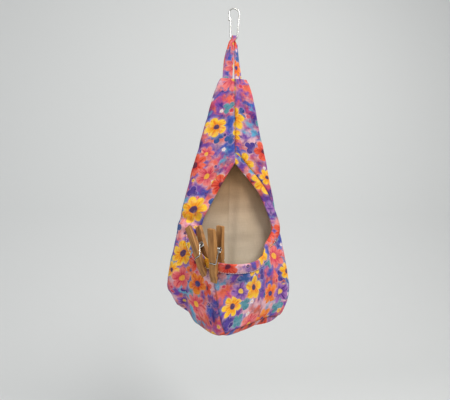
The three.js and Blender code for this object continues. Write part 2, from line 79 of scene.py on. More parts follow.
bpy.ops.object.camera_add()
camera = bpy.context.object
camera.data.lens = LENS
camera.data.clip_start = NEAREST_SEEN
camera.matrix_world = (
    Matrix.Translation(EYE) @ Matrix.Rotation(-YAW, 4, "Z")
    @ Matrix.Rotation(math.pi / 2 + PITCH, 4, "X") @ Matrix.Rotation(ROLL, 4, "Z"))
bpy.context.scene.camera = camera
bpy.context.scene.view_settings.view_transform = "Standard"
print("camera at", [round(v, 3) for v in EYE])

# %% [markdown]
# ## Node helpers
# Every finish below is a tree of shader nodes. Wiring by hand is slow to read in code, so a few small
# helpers add a node, set its plain values and join its inputs in one call.

# %% Node helpers
def plug(tree, socket, value):
    """Sets a plain value on an input socket, or links another node's output to it."""
    if isinstance(value, bpy.types.NodeSocket):
        tree.links.new(value, socket)
    else:
        socket.default_value = value


def add_node(tree, kind, inputs=None, **settings):
    node = tree.nodes.new("ShaderNode" + kind)
    for name, value in settings.items():
        setattr(node, name, value)
    for name, value in (inputs or {}).items():
        plug(tree, node.inputs[name], value)
    return node


def calc(tree, operation, *values):
    return add_node(tree, "Math", dict(enumerate(values)), operation=operation).outputs[0]


def vector_calc(tree, operation, *values):
    return add_node(tree, "VectorMath", dict(enumerate(values)), operation=operation).outputs[0]


def scaled(tree, vector, factor):
    return add_node(tree, "VectorMath", {0: vector, "Scale": factor}, operation="SCALE").outputs[0]


def smooth_step(tree, value, low, high, full=1.0):
    """Rises softly from 0 where the value is low to full where it is high."""
    inputs = {"Value": value, "From Min": low, "From Max": high, "To Max": full}
    return add_node(tree, "MapRange", inputs, interpolation_type="SMOOTHSTEP").outputs["Result"]


def mix_colours(tree, factor, first, second, blend="MIX"):
    inputs = {0: factor, 6: first, 7: second}
    return add_node(tree, "Mix", inputs, data_type="RGBA", blend_type=blend).outputs[2]


def colour_ramp(tree, factor, stops, interpolation="LINEAR"):
    node = add_node(tree, "ValToRGB", {"Fac": factor})
    node.color_ramp.interpolation = interpolation
    elements = node.color_ramp.elements
    while len(elements) < len(stops):
        elements.new(0.5)
    for element, (place, colour) in zip(elements, stops):
        element.position = place
        element.color = colour
    return node.outputs["Color"]


def noise(tree, vector, scale, detail=2.0, roughness=0.5, distortion=0.0):
    inputs = {
        "Vector": vector, "Scale": scale, "Detail": detail,
        "Roughness": roughness, "Distortion": distortion,
    }
    return add_node(tree, "TexNoise", inputs).outputs


print("node helpers ready")

# %% [markdown]
# ## Groups and materials
# A finish that several materials share is kept as a node group with its own inputs and outputs, so that
# it is wired once. Colours are written as a paint card gives them and turned into the linear values that
# nodes work with.

# %% Groups and materials
def paint(red, green, blue):
    """A colour as a paint card gives it, 0 to 255, in the linear values that nodes use."""
    shares = [c / 255 for c in (red, green, blue)]
    return tuple(s / 12.92 if s < 0.04045 else ((s + 0.055) / 1.055) ** 2.4 for s in shares) + (1.0,)


def new_group(name, inputs, outputs):
    tree = bpy.data.node_groups.new(name, "ShaderNodeTree")
    for in_out, sockets in (("INPUT", inputs), ("OUTPUT", outputs)):
        for label, kind in sockets.items():
            tree.interface.new_socket(label, in_out=in_out, socket_type="NodeSocket" + kind)
    return tree, tree.nodes.new("NodeGroupInput").outputs, tree.nodes.new("NodeGroupOutput").inputs


def use_group(tree, group, inputs):
    return add_node(tree, "Group", inputs, node_tree=group).outputs


def new_material(name, **plain):
    material = bpy.data.materials.new(name)
    material.use_nodes = True
    tree = material.node_tree
    shader = tree.nodes["Principled BSDF"]
    for label, value in plain.items():
        shader.inputs[label.replace("_", " ")].default_value = value
    return material, tree, shader


def bump(tree, shader, height, distance, strength):
    inputs = {"Height": height, "Distance": distance, "Strength": strength}
    tree.links.new(add_node(tree, "Bump", inputs).outputs[0], shader.inputs["Normal"])


print("a mid grey is", round(paint(128, 128, 128)[0], 3))

# %% [markdown]
# ## Studio
# The bag hangs before a pale sweep: a floor that curves up behind it, so that no corner shows. It is a
# plane whose back edge is extruded upwards and whose fold is bevelled round. It lies well below and
# behind the bag, because other views put the camera further out, and it is so wide that its ends stay
# out of sight.

# %% Studio
FLOOR_HEIGHT = -0.80
RISE_PLACE = 1.0
RISE_HEIGHT = 3.6
SWEEP_SIZE = 40.0
SWEEP_BEND = 0.5
SWEEP_BEND_STEPS = 16


def select_alone(piece):
    bpy.ops.object.select_all(action="DESELECT")
    piece.select_set(True)
    bpy.context.view_layer.objects.active = piece


def edit(piece, choose="SELECT"):
    """Opens a piece in edit mode with all of it selected, or with nothing selected."""
    select_alone(piece)
    bpy.ops.object.mode_set(mode="EDIT")
    bpy.ops.mesh.select_all(action=choose)


def done_editing():
    bpy.ops.object.mode_set(mode="OBJECT")


def pick_edges(piece, wanted):
    """Selects in edit mode the edges for which wanted(first end, second end) is true."""
    done_editing()
    points = piece.data.vertices
    for edge in piece.data.edges:
        first, second = (points[i].co for i in edge.vertices)
        edge.select = wanted(first, second)
    bpy.ops.object.mode_set(mode="EDIT")


def at_the_back(first, second):
    return min(first.y, second.y) > RISE_PLACE - MM


def at_the_fold(first, second):
    return at_the_back(first, second) and max(first.z, second.z) < FLOOR_HEIGHT + MM


bpy.ops.object.select_all(action="DESELECT")
bpy.ops.mesh.primitive_plane_add(size=SWEEP_SIZE, location=(0, RISE_PLACE - SWEEP_SIZE / 2, FLOOR_HEIGHT))
sweep = bpy.context.object
sweep.name = "studio_sweep"
bpy.ops.object.transform_apply(location=True, rotation=True, scale=True)
edit(sweep, "DESELECT")
bpy.ops.mesh.select_mode(type="EDGE")
pick_edges(sweep, at_the_back)
bpy.ops.mesh.extrude_region_move(TRANSFORM_OT_translate={"value": (0, 0, RISE_HEIGHT)})
pick_edges(sweep, at_the_fold)
bpy.ops.mesh.bevel(offset=SWEEP_BEND, segments=SWEEP_BEND_STEPS)
done_editing()
bpy.ops.object.shade_smooth()

backdrop, _, _ = new_material(
    "pale_backdrop", Base_Color=paint(222, 224, 224), Roughness=1.0, Specular_IOR_Level=0.0)
sweep.data.materials.append(backdrop)
print("sweep faces:", len(sweep.data.polygons))

# %% [markdown]
# ## Light
# The photographed bag hangs in soft daylight that comes from above and from the right, and its left
# sides are a little darker. A dim even world gives the daylight, a large area lamp the direction, and
# a weak one on the left keeps the shadows open.

# %% Light
WORLD_LEVEL = 0.52
BAG_MIDDLE = Vector((0, 0, -0.28))


def area_lamp(name, place, size, power, colour):
    bpy.ops.object.light_add(type="AREA", location=place)
    lamp = bpy.context.object
    lamp.name = name
    lamp.data.size = size
    lamp.data.energy = power
    lamp.data.color = colour
    lamp.rotation_euler = (BAG_MIDDLE - Vector(place)).to_track_quat("-Z", "Y").to_euler()


area_lamp("window_light", place=(0.52, -0.78, 0.82), size=0.55, power=19, colour=(1.0, 0.98, 0.95))
area_lamp("room_light", place=(-1.1, -0.6, 0.2), size=1.0, power=3.0, colour=(0.95, 0.97, 1.0))

world = bpy.data.worlds.new("soft_daylight")
bpy.context.scene.world = world
world.use_nodes = True
sky = world.node_tree.nodes["Background"]
sky.inputs["Color"].default_value = (1.0, 1.0, 1.0, 1.0)
sky.inputs["Strength"].default_value = WORLD_LEVEL

# %% [markdown]
# ## Woven cotton
# Both cloths are plain weave. A picture of cloth could be laid on them, but it would blur close up and
# repeat. A plain weave is a chequer of raised threads, which the product of two sine waves gives at any
# size. Stretched noise makes some threads thicker, as in real yarn. The pattern runs on the cloth's own map
# in metres, so that the threads keep their size on every piece.

# %% Weave group
YARN_ACROSS = 900.0
YARN_ALONG = 60.0
THIN_YARN = 0.7
THICK_YARN = 1.3
CHEQUER_SHARE = 0.35


def make_weave_group():
    tree, given, result = new_group(
        "plain weave", {"Place": "Vector", "Thread": "Float"}, {"Height": "Float", "Slub": "Float"})
    turns = calc(tree, "DIVIDE", 2 * math.pi, given["Thread"])
    parts = add_node(tree, "SeparateXYZ", {0: scaled(tree, given["Place"], turns)}).outputs
    chequer = calc(tree, "MULTIPLY", calc(tree, "SINE", parts[0]), calc(tree, "SINE", parts[1]))
    warp = vector_calc(tree, "MULTIPLY", given["Place"], (YARN_ACROSS, YARN_ALONG, 0.0))
    weft = vector_calc(tree, "MULTIPLY", given["Place"], (YARN_ALONG, YARN_ACROSS, 0.0))
    yarn = calc(tree, "ADD", noise(tree, warp, 1.0)["Fac"], noise(tree, weft, 1.0)["Fac"])
    slub = smooth_step(tree, yarn, THIN_YARN, THICK_YARN)
    plug(tree, result["Height"], calc(tree, "MULTIPLY_ADD", chequer, CHEQUER_SHARE, slub))
    plug(tree, result["Slub"], slub)
    return tree


plain_weave = make_weave_group()
print("group:", plain_weave.name)

# %% [markdown]
# ## A scatter of blossoms
# The print is a free design: broad blossoms of five to seven petals, small buds and clusters of three or
# four leaves over a watery ground. Drawing each flower is not needed. A Voronoi texture scatters random
# points over the cloth, and around each point the angle and distance give a petal outline. The random
# colour of the cell turns, sizes and tints each blossom, and noise that runs round the heart gives brush
# strokes.

# %% Blossom group
BLOSSOM_INPUTS = {
    "Place": "Vector", "Shift": "Vector", "Spacing": "Float", "Size": "Float",
    "Petals": "Float", "Extra": "Float", "Notch": "Float", "Share": "Float",
}
BLOSSOM_RESULTS = ("Petal", "Heart", "Halo", "Tone", "Stroke", "Pick")
NOISE_MIDDLE = (0.5, 0.5, 0.5)
WOBBLE_SCALE = 3.5
WOBBLE = 0.13
SCATTER = 0.7
PETAL_ROUNDNESS = 0.55
SMALLEST_SHARE = 0.8
GROWTH = 0.35
HEART_SHARE = 0.26
STROKE_SCALE = 4.5
STROKE_SPREAD = 40.0
LOT_SPREAD = 13.7
PETAL_EDGE = (0.0, 0.03)
HEART_EDGE = (-0.012, 0.02)
HALO_EDGE = (-0.09, 0.0)


def scatter_points(tree, given):
    """Random points over the cloth: their chances, and a place's distance and angle from its point."""
    moved = vector_calc(tree, "ADD", given["Place"], given["Shift"])
    cells = scaled(tree, moved, calc(tree, "DIVIDE", 1.0, given["Spacing"]))
    wobble = vector_calc(
        tree, "SUBTRACT", noise(tree, cells, WOBBLE_SCALE, detail=3.0)["Color"], NOISE_MIDDLE)
    hand_drawn = vector_calc(tree, "ADD", cells, scaled(tree, wobble, WOBBLE))
    inputs = {"Vector": hand_drawn, "Scale": 1.0, "Randomness": SCATTER}
    scatter = add_node(tree, "TexVoronoi", inputs, voronoi_dimensions="2D").outputs
    local = vector_calc(tree, "SUBTRACT", hand_drawn, scatter["Position"])
    x, y, _ = add_node(tree, "SeparateXYZ", {0: local}).outputs
    away = calc(tree, "SQRT", calc(tree, "MULTIPLY_ADD", x, x, calc(tree, "MULTIPLY", y, y)))
    return scatter["Color"], away, calc(tree, "ARCTAN2", y, x)


def make_blossom_group():
    tree, given, result = new_group(
        "blossom scatter", BLOSSOM_INPUTS, {name: "Float" for name in BLOSSOM_RESULTS})
    colour, away, angle = scatter_points(tree, given)
    pick, spin, growth = list(add_node(tree, "SeparateColor", {0: colour}).outputs)[:3]
    turn = calc(tree, "MULTIPLY_ADD", spin, 2 * math.pi, angle)
    extra = calc(tree, "FLOOR", calc(tree, "MULTIPLY", growth, given["Extra"]))
    half_petals = calc(tree, "MULTIPLY", calc(tree, "ADD", given["Petals"], extra), 0.5)
    lobe = calc(tree, "ABSOLUTE", calc(tree, "COSINE", calc(tree, "MULTIPLY", turn, half_petals)))
    outline = calc(tree, "MULTIPLY_ADD", calc(tree, "POWER", lobe, PETAL_ROUNDNESS), given["Notch"],
                   calc(tree, "SUBTRACT", 1.0, given["Notch"]))
    grown = calc(tree, "MULTIPLY", given["Size"],
                 calc(tree, "MULTIPLY_ADD", growth, GROWTH, SMALLEST_SHARE))
    reach = calc(tree, "MULTIPLY", outline, grown)
    inside = calc(tree, "SUBTRACT", reach, away)
    in_heart = calc(tree, "SUBTRACT", calc(tree, "MULTIPLY", grown, HEART_SHARE), away)
    lot = calc(tree, "FRACT", calc(tree, "MULTIPLY_ADD", spin, LOT_SPREAD, growth))
    drawn = calc(tree, "LESS_THAN", lot, given["Share"])
    for name, value, edge in (
            ("Petal", inside, PETAL_EDGE), ("Heart", in_heart, HEART_EDGE), ("Halo", inside, HALO_EDGE)):
        plug(tree, result[name], smooth_step(tree, value, *edge, drawn))
    circle = add_node(tree, "CombineXYZ", {
        0: calc(tree, "COSINE", turn), 1: calc(tree, "SINE", turn), 2: away}).outputs[0]
    shifted = vector_calc(tree, "ADD", circle, scaled(tree, colour, STROKE_SPREAD))
    plug(tree, result["Stroke"], noise(tree, shifted, STROKE_SCALE, detail=3.0)["Fac"])
    plug(tree, result["Tone"], calc(tree, "DIVIDE", away, reach))
    plug(tree, result["Pick"], pick)
    return tree


blossom_scatter = make_blossom_group()
print("group:", blossom_scatter.name)

# %% [markdown]
# ## Colours of the print
# Each wash of the ground has a colour, a shift that gives it its own part of the noise, a number of blobs
# per metre, and the noise at which it starts and is full. Each layer of flowers has a layout and three sets
# of colours: for the petals, for their tips and for the hearts. A flower picks its colours by chance.

# %% Colours of the print
GROUND_PAPER = paint(230, 180, 190)
GROUND_WASHES = [
    (paint(232, 104, 78), (0.0, 0.0, 0.0), 24.0, 0.38, 0.53),
    (paint(202, 72, 112), (0.31, 0.17, 0.0), 28.0, 0.52, 0.63),
    (paint(118, 72, 164), (0.67, 0.43, 0.0), 26.0, 0.47, 0.58),
    (paint(62, 88, 180), (0.13, 0.71, 0.0), 27.0, 0.50, 0.61),
    (paint(92, 172, 206), (0.89, 0.29, 0.0), 30.0, 0.55, 0.65),
    (paint(62, 48, 138), (0.47, 0.93, 0.0), 44.0, 0.56, 0.68),
]
LEAF_STOPS = [(0.0, paint(58, 92, 156)), (0.4, paint(88, 146, 160)), (0.7, paint(84, 64, 146))]
BUD_STOPS = [(0.0, paint(246, 190, 66)), (0.3, paint(224, 70, 92)), (0.55, paint(70, 50, 128)),
             (0.85, paint(236, 222, 226))]
PETAL_STOPS = [(0.0, paint(212, 58, 50)), (0.18, paint(226, 92, 40)), (0.38, paint(240, 146, 30)),
               (0.68, paint(210, 62, 92)), (0.86, paint(104, 62, 150))]
TIP_STOPS = [(0.0, paint(238, 102, 70)), (0.18, paint(246, 146, 48)), (0.38, paint(252, 204, 56)),
             (0.68, paint(238, 126, 122)), (0.86, paint(166, 112, 184))]
HEART_STOPS = [(0.0, paint(104, 34, 58)), (0.18, paint(66, 62, 118)), (0.38, paint(84, 58, 96)),
               (0.68, paint(242, 176, 66)), (0.86, paint(238, 190, 86))]
LEAVES = {"Shift": (0.011, 0.004, 0), "Spacing": 0.024, "Size": 0.40,
          "Petals": 3.0, "Extra": 1.99, "Notch": 0.6, "Share": 0.5}
BUDS = {"Shift": (0.003, 0.017, 0), "Spacing": 0.019, "Size": 0.17,
        "Petals": 5.0, "Extra": 0.0, "Notch": 0.3, "Share": 0.5}
SMALL_BLOSSOMS = {"Shift": (0.021, 0.009, 0), "Spacing": 0.036, "Size": 0.36,
                  "Petals": 5.0, "Extra": 2.99, "Notch": 0.46, "Share": 0.75}
LARGE_BLOSSOMS = {"Shift": (0.008, 0.031, 0), "Spacing": 0.048, "Size": 0.38,
                  "Petals": 5.0, "Extra": 2.99, "Notch": 0.42, "Share": 0.95}
PRINT_LAYERS = [
    (LEAVES, LEAF_STOPS, LEAF_STOPS, LEAF_STOPS),
    (BUDS, BUD_STOPS, BUD_STOPS, HEART_STOPS),
    (SMALL_BLOSSOMS, PETAL_STOPS, TIP_STOPS, HEART_STOPS),
    (LARGE_BLOSSOMS, PETAL_STOPS, TIP_STOPS, HEART_STOPS),
]
print("washes:", len(GROUND_WASHES), "layers:", len(PRINT_LAYERS))

# %% [markdown]
# ## The printed cotton
# The ground is wet-looking paint: washes of coral, pink, violet and blue that overlap, each of them where
# its own soft noise is high. Leaves, buds and two sizes of blossom are laid over it in turn, each layer as
# one use of the scatter group. Around each blossom the wet ground is a little paler, and at the end a pale
# bleed runs through everything. Three numbers say where noise starts to show, where it is full, and how
# strong it is there.

# %% Print group
PALE_WASH = paint(238, 206, 212)
DEPTHS = paint(84, 56, 146)
WASH_NOISE = {"detail": 5.0, "roughness": 0.6, "distortion": 0.4}
DEPTHS_NOISE = {"scale": 70.0, "detail": 3.0, "distortion": 0.6}
DEPTHS_SHOW = (0.44, 0.66, 0.4)
BLEED_NOISE = {"scale": 120.0, "detail": 4.0, "distortion": 0.5}
BLEED_SHOWS = (0.5, 0.72, 0.14)
BRUSH_WIDTH = 1.1
BRUSH_START = 0.55
BRUSH_SHOWS = (0.2, 1.0, 1.0)
LINES_SHOW = (0.47, 0.36, 0.55)
HALO_STRENGTH = 0.2


def lay_blossoms(tree, under, place, layout, stops, tips, hearts):
    layer = use_group(tree, blossom_scatter, {"Place": place, **layout})
    base, tip, heart = (colour_ramp(tree, layer["Pick"], colours, "CONSTANT")
                        for colours in (stops, tips, hearts))
    brushed = calc(tree, "MULTIPLY_ADD", layer["Stroke"], BRUSH_WIDTH,
                   calc(tree, "SUBTRACT", layer["Tone"], BRUSH_START))
    petal = mix_colours(tree, smooth_step(tree, brushed, *BRUSH_SHOWS), base, tip)
    lines = smooth_step(tree, layer["Stroke"], *LINES_SHOW)
    petal = mix_colours(tree, lines, petal, base, "MULTIPLY")
    flower = mix_colours(tree, layer["Heart"], petal, heart)
    pale = mix_colours(tree, calc(tree, "MULTIPLY", layer["Halo"], HALO_STRENGTH), under, PALE_WASH)
    return mix_colours(tree, layer["Petal"], pale, flower)


def make_print_group():
    tree, given, result = new_group("watery blossom print", {"Place": "Vector"}, {"Color": "Color"})
    place = given["Place"]
    cloth = GROUND_PAPER
    for colour, shift, blobs, low, high in GROUND_WASHES:
        moved = vector_calc(tree, "ADD", place, shift)
        spread = noise(tree, moved, blobs, **WASH_NOISE)["Fac"]
        cloth = mix_colours(tree, smooth_step(tree, spread, low, high), cloth, colour)
    deep = smooth_step(tree, noise(tree, place, **DEPTHS_NOISE)["Fac"], *DEPTHS_SHOW)
    cloth = mix_colours(tree, deep, cloth, DEPTHS, "MULTIPLY")
    for layer in PRINT_LAYERS:
        cloth = lay_blossoms(tree, cloth, place, *layer)
    bleed = smooth_step(tree, noise(tree, place, **BLEED_NOISE)["Fac"], *BLEED_SHOWS)
    plug(tree, result["Color"], mix_colours(tree, bleed, cloth, PALE_WASH))
    return tree


blossom_print = make_print_group()
print("group:", blossom_print.name)

# %% [markdown]
# ## Cotton finishes
# Both cottons share one finish: the colour is broken up by the slubs of the weave, darkened by painted shade
# in the bottom of a seam, rough, and raised by the threads. The printed one takes its colour from the print,
# the lining from a cloudy cream with painted shade that makes it browner further up. How deep a point lies in
# a seam is kept on the mesh as an attribute, which sets the painted seam shade.

# %% Cotton materials
THREAD = 0.55 * MM
THREAD_RELIEF = 0.12 * MM
THREAD_BUMP = 0.6
SEAM_SHADE = 0.34
COTTON_ROUGHNESS = 0.92
SLUB_SMOOTHNESS = 0.1
PRINT_SLUB = 0.15
LINING_SLUB = 0.08
LINING_CLOUDS = 14.0
LINING_STOPS = [(0.3, paint(208, 194, 170)), (0.7, paint(224, 212, 192))]
LINING_PAINTED_SHADE = paint(196, 162, 128)
LINING_UNSHADED_HEIGHT = -0.375
LINING_SHADED_HEIGHT = -0.235


def finish_cotton(tree, shader, place, colour, slub):
    weave = use_group(tree, plain_weave, {"Place": place, "Thread": THREAD})
    in_seam = add_node(tree, "Attribute", attribute_name="seam").outputs["Fac"]
    slubbed = calc(tree, "MULTIPLY_ADD", weave["Slub"], slub, 1 - slub)
    # Painted shade: the colour is darkened by SEAM_SHADE where the seam mark is high, in the bottom of a
    # seam.
    shade = calc(tree, "MULTIPLY", slubbed, calc(tree, "MULTIPLY_ADD", in_seam, -SEAM_SHADE, 1.0))
    tone = add_node(tree, "CombineColor", {0: shade, 1: shade, 2: shade}).outputs[0]
    rough = calc(tree, "MULTIPLY_ADD", weave["Slub"], -SLUB_SMOOTHNESS, COTTON_ROUGHNESS)
    plug(tree, shader.inputs["Base Color"], mix_colours(tree, 1.0, colour, tone, "MULTIPLY"))
    plug(tree, shader.inputs["Roughness"], rough)
    bump(tree, shader, weave["Height"], THREAD_RELIEF, THREAD_BUMP)


def make_printed_cotton():
    material, tree, shader = new_material(
        "printed_cotton", Specular_IOR_Level=0.25, Sheen_Weight=0.08, Sheen_Roughness=0.5)
    place = add_node(tree, "UVMap", uv_map="cloth").outputs[0]
    colour = use_group(tree, blossom_print, {"Place": place})["Color"]
    finish_cotton(tree, shader, place, colour, PRINT_SLUB)
    return material


def make_cream_cotton():
    material, tree, shader = new_material(
        "cream_cotton", Specular_IOR_Level=0.2, Sheen_Weight=0.1, Sheen_Roughness=0.5)
    place = add_node(tree, "UVMap", uv_map="cloth").outputs[0]
    cream = colour_ramp(tree, noise(tree, place, LINING_CLOUDS, detail=4.0)["Fac"], LINING_STOPS)
    in_space = add_node(tree, "TexCoord").outputs["Object"]
    height = add_node(tree, "SeparateXYZ", {0: in_space}).outputs[2]
    # Painted shade: the upper lining, shaded by the top of the pouch, is painted browner.
    painted_shade = smooth_step(tree, height, LINING_UNSHADED_HEIGHT, LINING_SHADED_HEIGHT)
    cream = mix_colours(tree, painted_shade, cream, LINING_PAINTED_SHADE, "MULTIPLY")
    finish_cotton(tree, shader, place, cream, LINING_SLUB)
    return material


COTTONS = {"printed_cotton": make_printed_cotton(), "cream_cotton": make_cream_cotton()}
print("cottons:", list(COTTONS))

# %% [markdown]
# ## The shape of the pouch
# The pouch was cut as two halves that meet at the centre front and the centre back. A cloth simulation
# could hang it, but its outline would then be left to chance, and it has to fit the solid model. So its
# shape is a formula: at every height the outline is a flat back, two round side edges and a front that
# stands out like a prow, and the rim of the mouth gapes outwards. The numbers are those of the solid model.
# A drop is a distance below the top edge.

# %% Pouch measures
BAG_TOP = -104.42 * MM
TOP_WIDTH = 43 * MM
WIDEST_WIDTH = 186 * MM
BASE_WIDTH = 152 * MM
SIDE_BOW = 4 * MM
WIDEST_DROP = 299 * MM
BAG_HEIGHT = 345 * MM
TOP_THICKNESS = 7.8 * MM
SIDE_THICKNESS = 27 * MM
BACK_SETBACK = 32 * MM
BACK_SLOPE_DROP = 210 * MM
PROW_START_DROP = 165 * MM
PROW_FULL_DROP = 248 * MM
PROW_DEPTH = 48 * MM
PROW_SHARPNESS = 1.8
PROW_SHIFT = -12 * MM
RIM_DROP = 260 * MM
RIM_FLARE = 14 * MM
RIM_FLARE_START_DROP = 212 * MM
RIM_FLARE_FOOT_DROP = 292 * MM
RIM_FLARE_SOFTNESS = 0.12


def ease(t):
    t = np.clip(t, 0, 1)
    return t * t * (3 - 2 * t)


def blend_between(low, high, t):
    return low + (high - low) * t


def hump(distance, width):
    return np.exp(-(distance / width) ** 2)


def section(drop):
    """Half width of the flat, radius of the side edge, back, prow and the prow's place at a drop."""
    t = np.minimum(drop / WIDEST_DROP, 1)
    tuck = np.maximum((drop - WIDEST_DROP) / (BAG_HEIGHT - WIDEST_DROP), 0)
    upper = TOP_WIDTH / 2 + (WIDEST_WIDTH - TOP_WIDTH) / 2 * t + SIDE_BOW * np.sin(np.pi * t)
    turn_in = (WIDEST_WIDTH - BASE_WIDTH) / 2 * (1 - np.cos(np.pi * tuck / 2))
    radius = blend_between(TOP_THICKNESS, SIDE_THICKNESS, ease(drop / WIDEST_DROP)) / 2
    back = blend_between(TOP_THICKNESS / 2, BACK_SETBACK, ease(drop / BACK_SLOPE_DROP))
    rise = (RIM_FLARE_FOOT_DROP - drop) / (RIM_FLARE_FOOT_DROP - RIM_DROP)
    flare = RIM_FLARE * (rise + np.hypot(rise, RIM_FLARE_SOFTNESS)) / 2
    flare = flare * ease((drop - RIM_FLARE_START_DROP) / (PROW_FULL_DROP - RIM_FLARE_START_DROP))
    prow = PROW_DEPTH * ease((drop - PROW_START_DROP) / (PROW_FULL_DROP - PROW_START_DROP)) + flare
    prow_x = PROW_SHIFT * ease((drop - RIM_DROP) / (BAG_HEIGHT - RIM_DROP))
    return upper - turn_in - radius, radius, back, prow, prow_x


def front_y(x, drop):
    shoulder, radius, back, prow, prow_x = section(drop)
    reach = np.where(x < prow_x, shoulder + prow_x, shoulder - prow_x)
    u = np.minimum(np.abs(x - prow_x) / reach, 1)
    return back - 2 * radius - prow * (1 - u * u) ** PROW_SHARPNESS


print("width at the widest:", round(2 * float(sum(section(WIDEST_DROP)[:2])), 4))

# %% [markdown]
# ## The mouth
# The mouth is a teardrop whose right corner is turned in. A Boolean could cut it out, but the binding, the
# stitches and the seam all follow its edge, so the edge is kept as a line of its own. A smooth curve through
# a few places gives the outline, as evenly spaced pairs of a place across and a drop, which the lists give in
# millimetres. Moved outwards by the width of the binding it becomes the seam that runs beside the mouth.

# %% Mouth outline
MOUTH_RIGHT = [
    (5.5, 119.5), (14.5, 130.5), (28, 145), (42.5, 163.5), (52.5, 183.5), (60.5, 202.5), (63.5, 218),
    (58.5, 229), (50.5, 237), (45.5, 246), (39, 254), (27, 258.5), (5, 259.8),
]
MOUTH_LEFT = [
    (5, 259.8), (-14, 259.6), (-28, 258), (-41, 253.5), (-50, 243), (-53, 231), (-50.5, 219.5),
    (-46, 209.5), (-40.5, 199.5), (-30, 182), (-19.5, 162), (-11, 146), (-1, 128.5), (5.5, 119.5),
]
OUTLINE_STEP = 2 * MM
CURVE_STEPS = 24
LONGEST_MITER = 1.2


def unit(vectors):
    return vectors / np.linalg.norm(vectors, axis=-1, keepdims=True)


def running_length(points):
    """How far along its line each point lies."""
    steps = np.linalg.norm(np.diff(points, axis=0), axis=-1)
    return np.concatenate([np.zeros((1,) + steps.shape[1:]), np.cumsum(steps, axis=0)])


def at_lengths(spots, run, line):
    """The places on a line at the given running lengths."""
    return np.stack([np.interp(spots, run, part) for part in line.T], -1)


def smooth_line(places):
    """A Catmull-Rom curve through the places, as points an even step apart."""
    places = np.array(places) * MM
    ends = np.vstack([2 * places[0] - places[1], places, 2 * places[-1] - places[-2]])
    t = np.linspace(0, 1, CURVE_STEPS, endpoint=False)[:, None]
    bits = []
    for a, b, c, d in zip(ends, ends[1:], ends[2:], ends[3:]):
        bits.append(b + ((c - a) * t + (2 * a - 5 * b + 4 * c - d) * t ** 2
                         + (3 * b - a - 3 * c + d) * t ** 3) / 2)
    line = np.vstack(bits + [places[-1:]])
    run = running_length(line)
    return at_lengths(np.linspace(0, run[-1], math.ceil(run[-1] / OUTLINE_STEP)), run, line)


def moved_out(outline, reach):
    before = unit(outline - np.roll(outline, 1, axis=0))
    after = unit(np.roll(outline, -1, axis=0) - outline)
    normal = unit(np.stack([before[:, 1] + after[:, 1], -before[:, 0] - after[:, 0]], -1))
    miter = 1 / (normal[:, 0] * before[:, 1] - normal[:, 1] * before[:, 0])
    return outline + reach * normal * np.minimum(miter, LONGEST_MITER)[:, None]


def inside_outline(x, drop, outline):
    """True where a place lies inside the closed outline, by counting the edges to its right."""
    inside = np.zeros(x.shape, bool)
    for (x1, d1), (x2, d2) in zip(outline, np.roll(outline, -1, axis=0)):
        crosses = (d1 > drop) != (d2 > drop)
        with np.errstate(divide="ignore", invalid="ignore"):
            at = x1 + (drop - d1) * (x2 - x1) / (d2 - d1)
        inside ^= crosses & (x < at)
    return inside


right_edge = smooth_line(MOUTH_RIGHT)
left_edge = smooth_line(MOUTH_LEFT)
mouth = np.vstack([right_edge[:-1], left_edge[:-1]])
print("mouth points:", len(mouth))

# %% [markdown]
# ## Seams
# The halves are sewn together down the centre front and the centre back, and the binding is sewn on beside
# the mouth. Each seam is a shallow groove. It could be painted on, but only a real groove catches the light
# from every side. One function says how deep a place lies in a seam. The shape of the cloth dips by it, and
# the colour of the cloth is darkened by it as painted shade in the groove.

# %% Seams
SEAM_DROPS = np.array([0, 119.5, 250, 285, 315, 331, 345]) * MM
SEAM_PLACES = np.array([1, 5.5, -26, -27, -21, -17, -12.2]) * MM
SEAM_WIDTH = 1.5 * MM
SEAM_DEPTH = 1.3 * MM
BINDING_WIDTH = 11.5 * MM
LEFT_SEAM = 0.25
SEAM_TURN = 10 * MM


def seam_x(drop):
    """Where the centre front seam runs: down to the mouth, and slanting under it."""
    return np.interp(drop, SEAM_DROPS, SEAM_PLACES)


def mouth_distance(x, drop):
    nearest = np.full(np.broadcast(x, drop).shape, np.inf)
    for edge_x, edge_drop in mouth:
        nearest = np.minimum(nearest, np.hypot(x - edge_x, drop - edge_drop))
    return nearest


def seam_depth(x, drop, front, width, back=1.0):
    """1 in the bottom of a seam, 0 away from all seams; front is 1 on the front and 0 on the back."""
    centre = front * hump(x - seam_x(drop), width) + back * (1 - front) * hump(x, width)
    plain = np.maximum(ease((x - seam_x(drop)) / SEAM_TURN), ease((drop - RIM_DROP) / SEAM_TURN))
    beside_mouth = hump(mouth_distance(x, drop) - BINDING_WIDTH, width)
    beside_mouth = front * beside_mouth * blend_between(LEFT_SEAM, 1, plain)
    foot = hump(BAG_HEIGHT - drop, width)
    return np.clip(centre + beside_mouth + foot, 0, 1)


print("seam at the foot:", round(float(seam_x(BAG_HEIGHT)), 4))

# %% [markdown]
# ## Folds
# Cloth that hangs is never smooth. The corner of the pouch makes a crease where the cloth turns, the sides
# fold where they are slack, and the strip beside the mouth is pressed back by the left peg. A simulation
# makes folds too, but not at chosen places, so here each fold is a line from one place to another that
# stands out or lies in. A row of the list gives the two places, the half width and the height in
# millimetres. Soft ripples run over everything but the cloth between the pegs' jaws. The outer cloth, the
# lining and the binding all follow the same folds.

